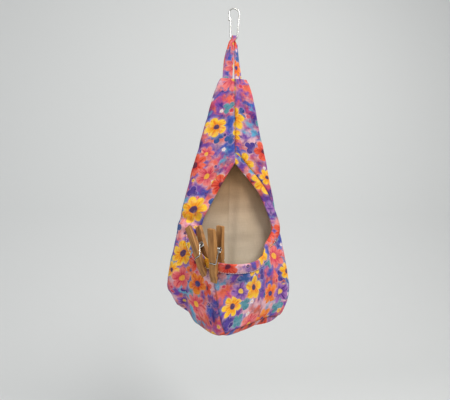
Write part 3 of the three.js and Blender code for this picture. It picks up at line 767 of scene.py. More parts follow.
# %% Folds
FRONT_FOLDS = [
    ((-27, 292), (-13, 345), 7, 3.0),
    ((-45, 296), (-36, 334), 11, -4.5),
    ((-60, 300), (-54, 340), 8, 1.8),
    ((-80, 276), (-74, 335), 6, 2.4),
    ((-70, 284), (-66, 338), 6, -3.6),
    ((66, 268), (62, 326), 7, 2.0),
    ((77, 262), (75, 326), 5, -2.8),
    ((20, 300), (44, 338), 12, 1.8),
    ((2, 284), (10, 330), 10, -1.6),
    ((-49, 203), (-49, 217), 7, -7.0),
    ((-68, 203), (-56, 208), 4.5, -4.5),
    ((-70, 213), (-58, 219), 5, 3.5),
    ((-50, 239), (-46, 249), 5, -0.8),
    ((48, 250), (58, 282), 6, 2.2),
    ((57, 243), (68, 280), 6, -2.0),
    ((-30, 60), (-44, 120), 9, -1.5),
    ((33, 70), (46, 130), 8, -1.4),
]
JAWS_PLACE = -33 * MM
JAWS_DROP = 266 * MM
JAWS_WIDTH = 28 * MM
JAWS_HEIGHT = 24 * MM
JAWS_PRESSURE = 0.9
RIPPLE_WAVES = 6
RIPPLE_STRETCH = (0.7, 1.5)
SWELLS = [(62 * MM, 1.2 * MM, 3), (24 * MM, 0.6 * MM, 8)]
HEM_PINCH = 1.6 * MM
HEM_LENGTH = 4 * MM
FRONT_STRAP_END = -8.4 * MM
BACK_STRAP_END = 6.9 * MM
STRAP_ENDS = [(FRONT_STRAP_END, 9.5 * MM), (BACK_STRAP_END, 8 * MM)]
FOOT_TUCK = 0.8 * MM
PUCKER = 0.45 * MM
PUCKER_LENGTH = 9 * MM
PUCKER_REACH = 7 * MM
PUCKER_SEED = 5


def ripples(x, drop, length, seed):
    """A soft random swell, made of a few sine waves in fixed directions."""
    draw = np.random.default_rng(seed)
    total = np.zeros_like(x * drop)
    for _ in range(RIPPLE_WAVES):
        heading = draw.uniform(0, np.pi)
        wave = 2 * np.pi / (length * draw.uniform(*RIPPLE_STRETCH))
        phase = draw.uniform(0, 2 * np.pi)
        total = total + np.sin(wave * (x * np.cos(heading) + drop * np.sin(heading)) + phase)
    return total / RIPPLE_WAVES


def fold_line(x, drop, start, end, width):
    """1 along a line between two places, falling off softly beside it and past its ends."""
    (x1, d1), (x2, d2) = np.array(start) * MM, np.array(end) * MM
    share = ((x - x1) * (x2 - x1) + (drop - d1) * (d2 - d1)) / ((x2 - x1) ** 2 + (d2 - d1) ** 2)
    share = np.clip(share, 0, 1)
    return hump(np.hypot(x - x1 - share * (x2 - x1), drop - d1 - share * (d2 - d1)), width * MM)


def fold_height(x, drop, front, back=1.0):
    """How far the cloth stands out from the plain shape; front is 1 on the front and 0 on the back."""
    gripped = front * hump(x - JAWS_PLACE, JAWS_WIDTH) * hump(drop - JAWS_DROP, JAWS_HEIGHT)
    height = 0.0
    for length, size, seed in SWELLS:
        height = height + size * ripples(x, drop, length, seed) * (1 - JAWS_PRESSURE * gripped)
    for start, end, width, stand in FRONT_FOLDS:
        height = height + front * stand * MM * fold_line(x, drop, start, end, width)
    strap = np.clip(sum(hump(x - end, reach) for end, reach in STRAP_ENDS), 0, 1)
    hem = -HEM_PINCH * hump(drop, HEM_LENGTH) * (1 - strap)
    foot = -FOOT_TUCK * hump(BAG_HEIGHT - drop, SEAM_WIDTH)
    near_seam = seam_depth(x, drop, front, PUCKER_REACH, back)
    pucker = PUCKER * ripples(x, drop, PUCKER_LENGTH, PUCKER_SEED) * near_seam
    groove = -SEAM_DEPTH * seam_depth(x, drop, front, SEAM_WIDTH, back)
    return height + hem + foot + pucker * (1 - gripped) + groove


print("folds:", len(FRONT_FOLDS))

# %% [markdown]
# ## How the bag hangs
# The plain shape stands straight, and a real bag does not. The top edge sits a little to the right, the
# lower left corner is drawn up and inwards, the corner of the front sags, and the right side spreads and
# sags a little. A lattice could bend each finished piece. One function that moves any point of the cloth is
# shorter, and all layers stay together.

# %% How the bag hangs
TOP_SWAY = 0.5 * MM
SWAY_LENGTH = 80 * MM
LEFT_LIFT = 16 * MM
LEFT_LIFT_START = 48 * MM
LEFT_LIFT_WIDTH = 18 * MM
LEFT_PULL = 4 * MM
CORNER_SAG = 8.5 * MM
CORNER_PLACE = -29 * MM
CORNER_WIDTH = 18 * MM
RIGHT_SAG = 2 * MM
RIGHT_SPREAD = 3 * MM
SETTLE_DROP = 296 * MM
SIDE_DROP = 318 * MM
SIDE_LENGTH = 28 * MM
SIDE_START = 50 * MM
SIDE_REACH = 30 * MM


def settled(points, drop):
    x = points[..., 0]
    low = ease((drop - SETTLE_DROP) / (BAG_HEIGHT - SETTLE_DROP))
    left_side = ease((-x - SIDE_START) / SIDE_REACH)
    right_side = ease((x - SIDE_START) / SIDE_REACH)
    lift = low * (LEFT_LIFT * ease((-x - LEFT_LIFT_START) / LEFT_LIFT_WIDTH)
                  - CORNER_SAG * hump(x - CORNER_PLACE, CORNER_WIDTH) - RIGHT_SAG * right_side)
    sideways = (TOP_SWAY * (1 - ease(drop / SWAY_LENGTH)) + RIGHT_SPREAD * right_side * low
                + LEFT_PULL * left_side * hump(drop - SIDE_DROP, SIDE_LENGTH))
    return points + np.stack([sideways + 0 * x, 0 * x, lift], -1)


hung_corner = settled(np.array([CORNER_PLACE, 0.0, BAG_TOP - BAG_HEIGHT]), BAG_HEIGHT)
print("the front corner hangs at", np.round(hung_corner, 4).tolist())

# %% [markdown]
# ## Surface of the pouch
# Now the plain shape, the folds, an inset and the hang are put together. A half of the pouch is addressed
# by q, which runs from 0 at the centre front round the side to 1 at the centre back, and by its drop. What
# follows the mouth is addressed by its place across and its drop.

# %% Surface of the pouch
FRONT_SHARE = 0.46
SIDE_SHARE = 0.18
BACK_SHARE = 1 - FRONT_SHARE - SIDE_SHARE
Q_STEP = 0.002
STEP = 0.4 * MM


def plain_point(hand, q, drop):
    """A point of the plain shape, with 1 on the front, 0 on the back and a share in between."""
    shoulder, radius, back, _, _ = section(drop)
    middle = seam_x(drop)
    u = np.clip(q / FRONT_SHARE, 0, 1)
    v = np.clip((q - FRONT_SHARE) / SIDE_SHARE, 0, 1)
    w = np.clip((q - FRONT_SHARE - SIDE_SHARE) / BACK_SHARE, 0, 1)
    front_x = middle + hand * u * (shoulder - hand * middle)
    turn = np.pi * v - np.pi / 2
    on_front = q <= FRONT_SHARE
    x = np.where(on_front, front_x, hand * (shoulder * (1 - w) + radius * np.cos(turn) * (w == 0)))
    y = np.where(on_front, front_y(front_x, drop), back - radius + radius * np.sin(turn))
    return np.stack([x, y, BAG_TOP - drop + 0 * x], -1), 1 - ease(v)


def normals_of(function, a, b, step_a, step_b):
    along_a = function(a + step_a, b) - function(a - step_a, b)
    along_b = function(a, b + step_b) - function(a, b - step_b)
    return unit(np.cross(along_a, along_b))


def half_surface(hand, q, drop, inset, back=1.0):
    """Points of one half of the pouch, folded, moved in by inset and hung."""
    def plain(q_, drop_):
        return plain_point(hand, np.clip(q_, 0, 1), np.clip(drop_, 0, BAG_HEIGHT))[0]

    points, front = plain_point(hand, q, drop)
    inward = hand * normals_of(plain, q, drop, Q_STEP, STEP)
    height = fold_height(points[..., 0], drop, front, back)
    return settled(points + inward * (inset - height)[..., None], drop)


def front_surface(x, drop, inset):
    """Points of the front alone, for what follows the mouth."""
    def plain(x_, drop_):
        return np.stack([x_, front_y(x_, drop_), BAG_TOP - drop_], -1)

    inward = normals_of(plain, x, drop, STEP, STEP)
    height = fold_height(x, drop, 1.0)
    return settled(plain(x, drop) + inward * (inset - height)[..., None], drop)


print("rim stands at y", round(float(front_y(np.array(0.0), np.array(RIM_DROP))), 4))

# %% [markdown]
# ## Cloth helpers
# A piece of cloth is a sheet made from its grid of points. A sheet could also be pulled into shape from a
# plane, but a grid still knows where each point lies on the flat cloth. Two things go with it on the mesh: a
# flat map in metres, on which the weave and the print run, and a mark that says how deep each point lies in a
# seam. The plain pattern without folds also gives the size of the cloth laid out flat.

# %% Cloth helpers
MERGE_DISTANCE = 1e-6


def new_piece(name, points, faces, material):
    mesh = bpy.data.meshes.new(name)
    mesh.from_pydata(np.reshape(points, (-1, 3)).tolist(), [], [list(map(int, face)) for face in faces])
    mesh.update()
    piece = bpy.data.objects.new(name, mesh)
    bpy.context.collection.objects.link(piece)
    mesh.materials.append(material)
    select_alone(piece)
    return piece


def grid_faces(rows, columns, flip=False, around=False):
    """Quads over a grid of points; around joins the last row to the first."""
    row = np.arange(rows if around else rows - 1)[:, None]
    column = np.arange(columns - 1)[None, :]
    a = (row * columns + column).ravel()
    d = (((row + 1) % rows) * columns + column).ravel()
    quads = np.stack([a, d, d + 1, a + 1], -1)
    return quads[:, ::-1] if flip else quads


def map_cloth(piece, places):
    """The cloth's own map, in metres: one flat place for each point of the mesh."""
    flat_map = piece.data.uv_layers.new(name="cloth")
    corners = np.zeros(len(piece.data.loops), np.int32)
    piece.data.loops.foreach_get("vertex_index", corners)
    flat_map.data.foreach_set("uv", np.reshape(places, (-1, 2))[corners].astype(np.float32).ravel())


def mark_seams(piece, depths):
    # The seam mark sets the painted shade that darkens the cloth's colour in a seam.
    marks = piece.data.attributes.new("seam", "FLOAT", "POINT")
    marks.data.foreach_set("value", np.ravel(depths).astype(np.float32))


def apply_modifier(piece, kind, **settings):
    bpy.context.view_layer.objects.active = piece
    modifier = piece.modifiers.new(kind.lower(), kind)
    for name, value in settings.items():
        setattr(modifier, name, value)
    bpy.ops.object.modifier_apply(modifier=modifier.name)


def drop_loose_points(piece):
    edit(piece)
    bpy.ops.mesh.delete_loose()
    done_editing()


def face_outwards(piece):
    edit(piece)
    bpy.ops.mesh.remove_doubles(threshold=MERGE_DISTANCE)
    bpy.ops.mesh.normals_make_consistent(inside=False)
    done_editing()


def flat_area(points, faces):
    corners = np.reshape(points, (-1, 3))[np.asarray(faces)]
    diagonals = np.cross(corners[:, 2] - corners[:, 0], corners[:, 3] - corners[:, 1])
    return round(float(np.linalg.norm(diagonals, axis=1).sum() / 2), 4)


def metres(*lengths):
    return tuple(round(float(length), 3) for length in lengths)


def sew_in(piece, node, flat, area):
    """Gives a sheet of the pouch its place in the part, and says how large it is laid out flat."""
    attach(piece, "pouch")
    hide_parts(node)
    print(piece.name, "faces:", len(piece.data.polygons), "pattern:", flat, area)


print("cloth helpers ready")

# %% [markdown]
# ## Outer cloth and lining
# Both layers are made the same way, the lining a little further in. Behind the mouth the lining hangs
# slack, with a soft fold down its back, and it stops just above the base. Faces inside the mouth are left
# out, with a cut edge that stays hidden in the binding, and a Solidify modifier gives the sheet the
# thickness of the cloth. Each half starts at another place of the print, so that the pattern breaks at the
# seams as it does in a sewn bag.

# %% Layers of cloth
LEFT = -1
RIGHT = 1
OUTER_CLOTH = 1.0 * MM
LINING_INSET = 1.3 * MM
LINING_CLOTH = 0.8 * MM
LINING_RISE = 3 * MM
LINING_SLACK = 5 * MM
LINING_SLACK_START = 0.5
LINING_SLACK_EASE = 0.12
LINING_SLACK_DROP = 110 * MM
LINING_SLACK_LENGTH = 80 * MM
LINING_SWELL_SHARE = 0.4
LINING_SWELL_LENGTH = 85 * MM
LINING_SWELL_SEED = 21
LINING_FOLD = 5.0 * MM
LINING_FOLD_DROPS = np.array([120, 160, 262, 345]) * MM
LINING_FOLD_PLACES = np.array([20, 19, 12, 8]) * MM
LINING_FOLD_LEFT_WIDTH = 9 * MM
LINING_FOLD_RIGHT_WIDTH = 20 * MM
LINING_SEAM = 0.15
LINING_FOOT_INSET = 2.6 * MM
LINING_FOOT_LENGTH = 26 * MM
OUTER = {
    "name": "outer", "slot": "printed_cotton", "cloth": OUTER_CLOTH, "lowest": BAG_HEIGHT,
    "inset": 0.0, "foot_inset": 0.0, "slack": 0, "back_seam": 1.0,
}
LINING = {
    "name": "lining", "slot": "cream_cotton", "cloth": LINING_CLOTH, "lowest": BAG_HEIGHT - LINING_RISE,
    "inset": LINING_INSET, "foot_inset": LINING_INSET + LINING_FOOT_INSET, "slack": 1,
    "back_seam": LINING_SEAM,
}


def lining_looseness(x, q, drop):
    """How much further in the lining hangs than its plain inset."""
    on_back = (ease((q - LINING_SLACK_START) / LINING_SLACK_EASE)
               * ease((drop - LINING_SLACK_DROP) / LINING_SLACK_LENGTH))
    wave = ripples(x, drop, LINING_SWELL_LENGTH, LINING_SWELL_SEED)
    swell = LINING_SLACK * (1 - LINING_SWELL_SHARE + LINING_SWELL_SHARE * wave)
    beside = x - np.interp(drop, LINING_FOLD_DROPS, LINING_FOLD_PLACES)
    width = np.where(beside < 0, LINING_FOLD_LEFT_WIDTH, LINING_FOLD_RIGHT_WIDTH)
    fold = LINING_FOLD * hump(beside, width)
    foot = LINING_FOOT_INSET * ease(1 - (BAG_HEIGHT - LINING_RISE - drop) / LINING_FOOT_LENGTH)
    return np.maximum(on_back * (swell + fold), foot)


print("layers:", OUTER["name"], "and", LINING["name"])

# %% [markdown]
# ## The two halves of each layer
# The grid of a half is finer beside its seams and its edges than in the plain cloth, because a groove a
# few millimetres wide has to show there. An even grid would need far more faces for it. The girth of the
# plain shape, counted from the side edge, runs across the map, and the drop runs down it.

# %% Halves
ROWS = 220
COLUMNS = 150
SEAM_COLUMNS = np.array([0, 0.0025, 0.0055, 0.0095, 0.0145])
PLAIN_COLUMNS_START = 0.021
EDGE_ROWS = np.array([0, 0.6, 1.2, 2.0, 3.0]) * MM
PLAIN_ROWS_START = 4.5 * MM
FRONT_MARGIN = 0.01
EDGE_HIDDEN = 5 * MM
HALF_SHIFT = 0.52

hidden_edge = moved_out(mouth, EDGE_HIDDEN)


def column_shares():
    plain = np.linspace(PLAIN_COLUMNS_START, 1 - PLAIN_COLUMNS_START, COLUMNS)
    return np.concatenate([SEAM_COLUMNS, plain, 1 - SEAM_COLUMNS[::-1]])


def row_drops(lowest):
    plain = np.linspace(PLAIN_ROWS_START, lowest - PLAIN_ROWS_START, ROWS)
    return np.concatenate([EDGE_ROWS, plain, lowest - EDGE_ROWS[::-1]])


def cut_mouth(faces, plain, q):
    """The faces that are left when the mouth is cut out of the front."""
    middle = plain.reshape(-1, 3)[faces].mean(axis=1)
    on_front = q.ravel()[faces].max(axis=1) < FRONT_SHARE + FRONT_MARGIN
    in_mouth = inside_outline(middle[:, 0], BAG_TOP - middle[:, 2], hidden_edge)
    return faces[~(on_front & in_mouth)]


def make_half(layer, side, hand):
    q, drop = np.meshgrid(column_shares(), row_drops(layer["lowest"]))
    plain, front = plain_point(hand, q, drop)
    loose = layer["slack"] * lining_looseness(plain[..., 0], q, drop)
    points = half_surface(hand, q, drop, layer["inset"] + loose, layer["back_seam"])
    faces = cut_mouth(grid_faces(*q.shape, flip=hand < 0), plain, q)
    piece = new_piece(f"{layer['name']}_{side}_cloth", points, faces, COTTONS[layer["slot"]])
    girth = running_length(plain.transpose(1, 0, 2)).T
    side_edge = np.argmin(np.abs(q[0] - FRONT_SHARE - SIDE_SHARE / 2))
    run = hand * (girth - girth[:, side_edge][:, None]) + HALF_SHIFT * (hand < 0)
    map_cloth(piece, np.stack([run, -drop], -1))
    mark_seams(piece, seam_depth(plain[..., 0], drop, front, SEAM_WIDTH, layer["back_seam"]))
    drop_loose_points(piece)
    apply_modifier(piece, "SOLIDIFY", thickness=layer["cloth"], offset=-1, use_even_offset=True)
    bpy.ops.object.shade_smooth()
    flat = metres(girth.max(), running_length(plain).max())
    sew_in(piece, f"{layer['name']}_{side}_panel", flat, flat_area(plain, faces))


for side, hand in (("left", LEFT), ("right", RIGHT)):
    make_half(OUTER, side, hand)
    make_half(LINING, side, hand)

# %% [markdown]
# ## Base panels
# Under the pouch is a shallow dish of the same cloth, sewn on all round below the sides. One filled face
# would be flat and stiff. The dish is a loft, which meets the sides point by point: the foot of the sides,
# drawn in step by step towards the middle while it sags.

# %% Base panels
BASE_GAP = 0.3 * MM
BASE_SAG = 12 * MM
BASE_STEEPNESS = (1.3, 6.0)
BASE_TURN_START = -24 * MM
BASE_TURN_WIDTH = 24 * MM
BASE_RINGS = 26
BASE_RING_CROWDING = 1.6
BASE_REACH = 0.985
BASE_SWELL = 0.8 * MM
BASE_SWELL_LENGTH = 45 * MM
BASE_SWELL_SEED = 31
BASE_STILL_EDGE = 0.02
BASE_SEAM_RINGS = 1.0
BASE_PRINT_SHIFT = np.array([0.4, 0.1])


def foot_edge(half, drop):
    """The foot of the sides as one closed row of points, from the two halves."""
    q = column_shares()
    foot = np.full_like(q, min(drop, BAG_HEIGHT))
    return np.concatenate([half(RIGHT, q, foot), half(LEFT, q, foot)[1:-1][::-1]])


def dish(edge, drop, swell):
    """Rings of points from the edge in to the middle, sagging on the way."""
    middle = edge.mean(axis=0)
    lift = edge[:, 2] - (BAG_TOP - min(drop, BAG_HEIGHT))
    steepness = blend_between(*BASE_STEEPNESS, ease((edge[:, 0] - BASE_TURN_START) / BASE_TURN_WIDTH))
    rings = []
    for share in 1 - np.linspace(0, 1, BASE_RINGS) ** BASE_RING_CROWDING * BASE_REACH:
        ring = middle + (edge - middle) * share
        wave = ripples(ring[:, 0], ring[:, 1], BASE_SWELL_LENGTH, BASE_SWELL_SEED)
        wave = wave * (1 - hump(1 - share, BASE_STILL_EDGE))
        sag = BASE_SAG * (1 - share ** steepness)
        ring[:, 2] = BAG_TOP - drop - sag + lift * share ** 2 + swell * wave
        rings.append(ring)
    return np.array(rings).transpose(1, 0, 2)


def laid_flat(pattern):
    """Width and depth of a dish whose lines from the middle to the edge are laid out straight."""
    lengths = running_length(pattern.transpose(1, 0, 2))[-1]
    outline = unit(pattern[:, 0, :2] - pattern[:, -1, :2]) * lengths[:, None]
    return metres(*np.ptp(outline, axis=0))


def make_base(layer):
    def folded(hand, q, drop):
        return half_surface(hand, q, drop, layer["foot_inset"] + 0 * q)

    def plain(hand, q, drop):
        return plain_point(hand, q, drop)[0]

    foot = layer["lowest"] + BASE_GAP
    points = dish(foot_edge(folded, foot), foot, BASE_SWELL)
    pattern = dish(foot_edge(plain, foot), foot, 0.0)
    faces = grid_faces(*points.shape[:2], around=True, flip=True)
    cap = np.arange(len(points)) * BASE_RINGS + BASE_RINGS - 1
    piece = new_piece(f"{layer['name']}_base_cloth", points, [*faces, cap], COTTONS[layer["slot"]])
    map_cloth(piece, points[..., :2] + BASE_PRINT_SHIFT)
    # The outer ring of the dish is marked as a seam, which gets painted shade.
    mark_seams(piece, np.broadcast_to(hump(np.arange(BASE_RINGS), BASE_SEAM_RINGS), points.shape[:2]))
    face_outwards(piece)
    if sum(face.normal.z * face.area for face in piece.data.polygons) > 0:
        piece.data.flip_normals()
    apply_modifier(piece, "SOLIDIFY", thickness=layer["cloth"], offset=-1)
    bpy.ops.object.shade_smooth()
    area = flat_area(pattern, faces)
    sew_in(piece, f"{layer['name']}_base_panel", laid_flat(pattern), area)


make_base(OUTER)
make_base(LINING)

# %% [markdown]
# ## Binding
# A strip of the print is folded over the raw edge of the mouth and sewn down on both sides. A curve with a
# bevel could follow the mouth, but it would not lie on the folds of the cloth. So the section, a soft U, is
# carried round the outline on the same surface as the halves. The edge that is sewn dips into its seam, and
# the strip swells a little in between, as folded cloth does. For its map the section is unfolded again, so
# that the print runs over the edge without stretching.

# %% Binding
BINDING_CLOTH = 0.6 * MM
BINDING_GAP = 0.3 * MM
BINDING_PUFF = 0.8 * MM
PUFF_SLANT = 1.4
FOLD_ROUNDNESS = 0.55
FOLD_STEPS = 8
LEAF_STEPS = 9
RUN_STEPS = 40
BINDING_JOIN = 23
BINDING_PRINT_SHIFT = 0.7
WALL_THICKNESS = LINING_INSET + LINING_CLOTH
OUTER_SKIN = -BINDING_GAP - BINDING_CLOTH
INNER_SKIN = WALL_THICKNESS + BINDING_GAP + BINDING_CLOTH


def binding_section():
    """Pairs of (reach out from the edge, inset into the cloth) round the strip's section, closed."""
    inwards = np.linspace(1, 0, LEAF_STEPS)
    outwards = inwards[::-1]
    puff = BINDING_PUFF * np.sin(np.pi * inwards ** PUFF_SLANT)
    turn = np.linspace(0, np.pi, FOLD_STEPS + 2)[1:-1]
    half = (INNER_SKIN - OUTER_SKIN) / 2
    fold = np.stack([-half * FOLD_ROUNDNESS * np.sin(turn), OUTER_SKIN + half - half * np.cos(turn)], -1)

    def leaf(shares, inset):
        return np.stack([BINDING_WIDTH * shares, 0 * shares + inset], -1)

    skin = [leaf(inwards, OUTER_SKIN - puff), fold, leaf(outwards, INNER_SKIN)]
    core = [leaf(inwards, WALL_THICKNESS + BINDING_GAP), leaf(outwards, -BINDING_GAP)]
    return np.vstack(skin + core + [skin[0][:1]])


def cloth_run(hand, x, drop):
    """How far along the cloth a place of the front lies from the side edge."""
    shoulder, radius = section(drop)[:2]
    way = x + (hand * shoulder - x) * np.linspace(0, 1, RUN_STEPS)[:, None, None]
    steps = np.hypot(np.diff(way, axis=0), np.diff(front_y(way, drop), axis=0))
    return -hand * (steps.sum(axis=0) + radius * np.pi / 2)


def round_mouth(reaches, stations):
    """Places across and drops of lines round the mouth, one for each reach."""
    lines = np.array([moved_out(mouth, reach) for reach in reaches])
    return lines[:, stations].transpose(2, 1, 0)


def make_binding():
    strip = binding_section()
    join = len(right_edge) + BINDING_JOIN
    stations = np.concatenate([np.arange(join + 1), np.arange(join, len(mouth)), [0]])
    on_left = (np.arange(len(stations)) > join)[:, None]
    x, drop = round_mouth(strip[:, 0], stations)
    points = front_surface(x, drop, np.broadcast_to(strip[:, 1], x.shape))
    faces = grid_faces(*x.shape)
    faces = faces[faces[:, 0] // len(strip) != join]
    piece = new_piece("mouth_binding", points, faces, COTTONS["printed_cotton"])
    flat_x, flat_drop = round_mouth(BINDING_WIDTH - running_length(strip), stations)
    flat_run = np.where(on_left, cloth_run(LEFT, flat_x, flat_drop) + HALF_SHIFT,
                        cloth_run(RIGHT, flat_x, flat_drop) + BINDING_PRINT_SHIFT)
    map_cloth(piece, np.stack([flat_run, -flat_drop], -1))
    # The sewn edge of the binding is marked as a seam, which gets painted shade.
    sewn = hump(strip[:, 0] - BINDING_WIDTH, SEAM_WIDTH)
    mark_seams(piece, np.where(on_left, LEFT_SEAM, 1.0) * sewn)
    face_outwards(piece)
    bpy.ops.object.shade_smooth()
    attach(piece, "pouch")
    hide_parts("opening_binding")


make_binding()

# %% [markdown]
# ## Stitches
# A row of stitches holds the binding down along the rim. It could be a dashed line in the material, but
# threads that stand out are still there when the mesh is used without it. A stitch is a short thread that
# comes out of the cloth and dives back in. One small tube is copied along the row, turned so that it lies on
# the cloth.

# %% Stitches
STITCH_LENGTH = 2.7 * MM
STITCH_SPACING = 3.3 * MM
STITCH_THREAD = 0.7 * MM
STITCH_SIDES = 6
STITCH_PROFILE = np.array([(-1.0, 0.2), (-0.8, 0.8), (-0.35, 1.0), (0.35, 1.0), (0.8, 0.8), (1.0, 0.2)])
STITCH_STAND = 0.5
STITCH_PUFF_SHARE = 0.35
STITCH_INSIDE_EDGE = 1.1 * MM
STITCHED_BELOW = 226 * MM


def stitch_points(spot, along, out):
    """One thread as a grid: its sides all round, and for each side the rings along its length."""
    place, width = STITCH_PROFILE.T[..., None]
    turn = np.linspace(0, 2 * np.pi, STITCH_SIDES, endpoint=False)[:, None, None]
    centre = spot + along * place * STITCH_LENGTH / 2 + out * STITCH_THREAD * (STITCH_STAND - place ** 2)
    spoke = np.cos(turn) * np.cross(out, along) + np.sin(turn) * out
    return centre + width * STITCH_THREAD / 2 * spoke


def stitch_faces():
    rings = len(STITCH_PROFILE)
    start = np.arange(STITCH_SIDES) * rings
    return [*grid_faces(STITCH_SIDES, rings, around=True), start[::-1], start + rings - 1]


def make_stitches():
    line = moved_out(mouth, BINDING_WIDTH - STITCH_INSIDE_EDGE)
    x, drop = line[mouth[:, 1] > STITCHED_BELOW].T
    on_strip = OUTER_SKIN - BINDING_PUFF * STITCH_PUFF_SHARE + 0 * x
    row = front_surface(x, drop, on_strip)
    raised_row = front_surface(x, drop, on_strip - MM)
    run = running_length(row)
    spots = np.arange(STITCH_SPACING, run[-1], STITCH_SPACING)
    middles = at_lengths(spots, run, row)
    along = unit(at_lengths(spots + MM, run, row) - middles)
    out = unit(at_lengths(spots, run, raised_row) - middles)
    points = np.array([stitch_points(*stitch) for stitch in zip(middles, along, out)])
    each = STITCH_SIDES * len(STITCH_PROFILE)
    faces = [face + i * each for i in range(len(spots)) for face in stitch_faces()]
    thread, _, _ = new_material(
        "pale_thread", Base_Color=paint(240, 226, 232), Roughness=0.7, Specular_IOR_Level=0.3)
    piece = new_piece("binding_stitches", points, faces, thread)
    bpy.ops.object.shade_smooth()
    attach(piece, "pouch")
    print(piece.name, "stitches:", len(spots))


make_stitches()

# %% [markdown]
# ## Hanging loop
# The loop is a strap of the print, folded to about 15 mm and sewn into the top seam at both ends. It is
# gathered where it hangs over the wire, and its two ends hang side by side. A strap is a soft flat section
# carried along a path. A bevelled curve does that with one shape of section. Here the width, the turn and the
# crumple change on the way, so each section is worked out.

# %% Path of the loop
SWING_HEIGHT = -45.0 * MM
LOOP_GATHERED_WIDTH = 6.6 * MM
LOOP_MIDDLE_RADIUS = 4.378 * MM
LOOP_CROSSING = 3.4 * MM
LOOP_CROSSING_LENGTH = 7 * MM
LOOP_FLARE_LENGTH = 34 * MM
LOOP_TUCK = 16 * MM
TURN_SHARES = [0, 0.14, 0.5, 1]
FRONT_LEG = {
    "start": -LOOP_CROSSING, "end": FRONT_STRAP_END, "y": -LOOP_MIDDLE_RADIUS,
    "width": 14.6 * MM, "turns": (0, 6, 14, 0), "bow": 1.7,
}
BACK_LEG = {
    "start": LOOP_CROSSING, "end": BACK_STRAP_END, "y": LOOP_MIDDLE_RADIUS,
    "width": 10.8 * MM, "turns": (0, 40, 44, 8), "bow": 1.0,
}
LEG_STATIONS = 44
BEND_STATIONS = 20


def loop_leg(leg):
    """Stations from the wire down to the tucked end: middle, width and turn about the leg."""
    length = SWING_HEIGHT - BAG_TOP
    t = np.linspace(0, 1, LEG_STATIONS)
    start = leg["start"] * ease(length * t / LOOP_CROSSING_LENGTH)
    middle = np.stack([
        blend_between(start, leg["end"], 1 - (1 - t) ** leg["bow"]),
        leg["y"] * (1 - ease(t)),
        SWING_HEIGHT - length * t,
    ], -1)
    width = blend_between(LOOP_GATHERED_WIDTH, leg["width"], ease(length * t / LOOP_FLARE_LENGTH))
    turn = np.radians(np.interp(t, TURN_SHARES, leg["turns"]))
    tucked = middle[-1] - np.array([0, 0, LOOP_TUCK])
    return np.vstack([middle, tucked]), np.append(width, width[-1]), np.append(turn, turn[-1])


def loop_bend():
    """Stations over the wire, from the front to the back."""
    angle = np.linspace(np.pi, 0, BEND_STATIONS + 2)[1:-1]
    middle = np.stack([
        0 * angle,
        LOOP_MIDDLE_RADIUS * np.cos(angle),
        SWING_HEIGHT + LOOP_MIDDLE_RADIUS * np.sin(angle),
    ], -1)
    return middle, np.full(BEND_STATIONS, LOOP_GATHERED_WIDTH), np.zeros(BEND_STATIONS)


upwards = [values[::-1] for values in loop_leg(FRONT_LEG)]
loop_path, loop_widths, loop_turns = (
    np.concatenate(parts) for parts in zip(upwards, loop_bend(), loop_leg(BACK_LEG)))
print("stations of the loop:", len(loop_path))

# %% [markdown]
# ## The strap along its path
# At each station stands one ring of points: a flat section with soft corners, pleated where the strap is
# gathered and dipping beside its edges where the folds lie. The rings are joined by faces, and both open
# ends are filled. The top of the loop swings on the wire and its foot turns with the pouch.

# %% Strap
STRAP_SIDES = 32
STRAP_THICKNESS = 2.2 * MM
STRAP_EDGE_ROUNDNESS = 0.7
STRAP_FACE_ROUNDNESS = 0.55
PLEAT_DEPTH = 0.35 * MM
PLEATS = 5.2
EDGE_DIP = 0.25
EDGE_DIP_PLACE = 1.6 * MM
EDGE_DIP_WIDTH = 0.7 * MM
STRAP_PRINT_SHIFT = np.array([0.9, 0.3])


def strap_ring(middle, along, width, turn):
    """The points of the strap's section at one station."""
    theta = np.linspace(0, 2 * np.pi, STRAP_SIDES, endpoint=False)
    level_side = np.array([1.0, 0, 0])
    level_face = np.cross(level_side, along)
    side = level_side * math.cos(turn) + level_face * math.sin(turn)
    face = level_face * math.cos(turn) - level_side * math.sin(turn)
    gathered = np.clip((FRONT_LEG["width"] - width) / (FRONT_LEG["width"] - LOOP_GATHERED_WIDTH), 0, 1)
    flat = np.sign(np.cos(theta)) * np.abs(np.cos(theta)) ** STRAP_EDGE_ROUNDNESS * width / 2
    thick = np.sign(np.sin(theta)) * np.abs(np.sin(theta)) ** STRAP_FACE_ROUNDNESS * STRAP_THICKNESS / 2
    pleat = PLEAT_DEPTH * gathered * np.cos(flat / width * PLEATS * np.pi)
    edge_dip = EDGE_DIP * hump(np.abs(flat) - width / 2 + EDGE_DIP_PLACE, EDGE_DIP_WIDTH)
    return middle + np.outer(flat, side) + np.outer(thick * (1 - edge_dip) + pleat, face)


def fill_ends(piece):
    edit(piece)
    bpy.ops.mesh.remove_doubles(threshold=MERGE_DISTANCE)
    bpy.ops.mesh.select_all(action="DESELECT")
    bpy.ops.mesh.select_non_manifold()
    bpy.ops.mesh.edge_face_add()
    done_editing()


def make_loop():
    neighbours = np.vstack([loop_path[:1], loop_path, loop_path[-1:]])
    along = neighbours[2:] - neighbours[:-2]
    along[:, 0] = 0
    stations = zip(loop_path, unit(along), loop_widths, loop_turns)
    points = np.array([strap_ring(*station) for station in stations])
    points = np.concatenate([points, points[:, :1]], axis=1)
    piece = new_piece("loop_strap", points, grid_faces(*points.shape[:2]), COTTONS["printed_cotton"])
    run = running_length(loop_path)
    flat_map = np.stack(np.meshgrid(running_length(points[0]), run), -1)
    map_cloth(piece, flat_map + STRAP_PRINT_SHIFT)
    fill_ends(piece)
    face_outwards(piece)
    bpy.ops.object.shade_smooth()
    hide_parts("hanging_loop")
    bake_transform(piece)


make_loop()

# %% [markdown]
# ## Drawn steel
# The ring and the peg springs are bent from bright drawn wire: metal with fine lines in it, and duller
# where it has tarnished. A curve with a round bevel is the natural way to bend a wire, and it is turned
# into a mesh at the end.

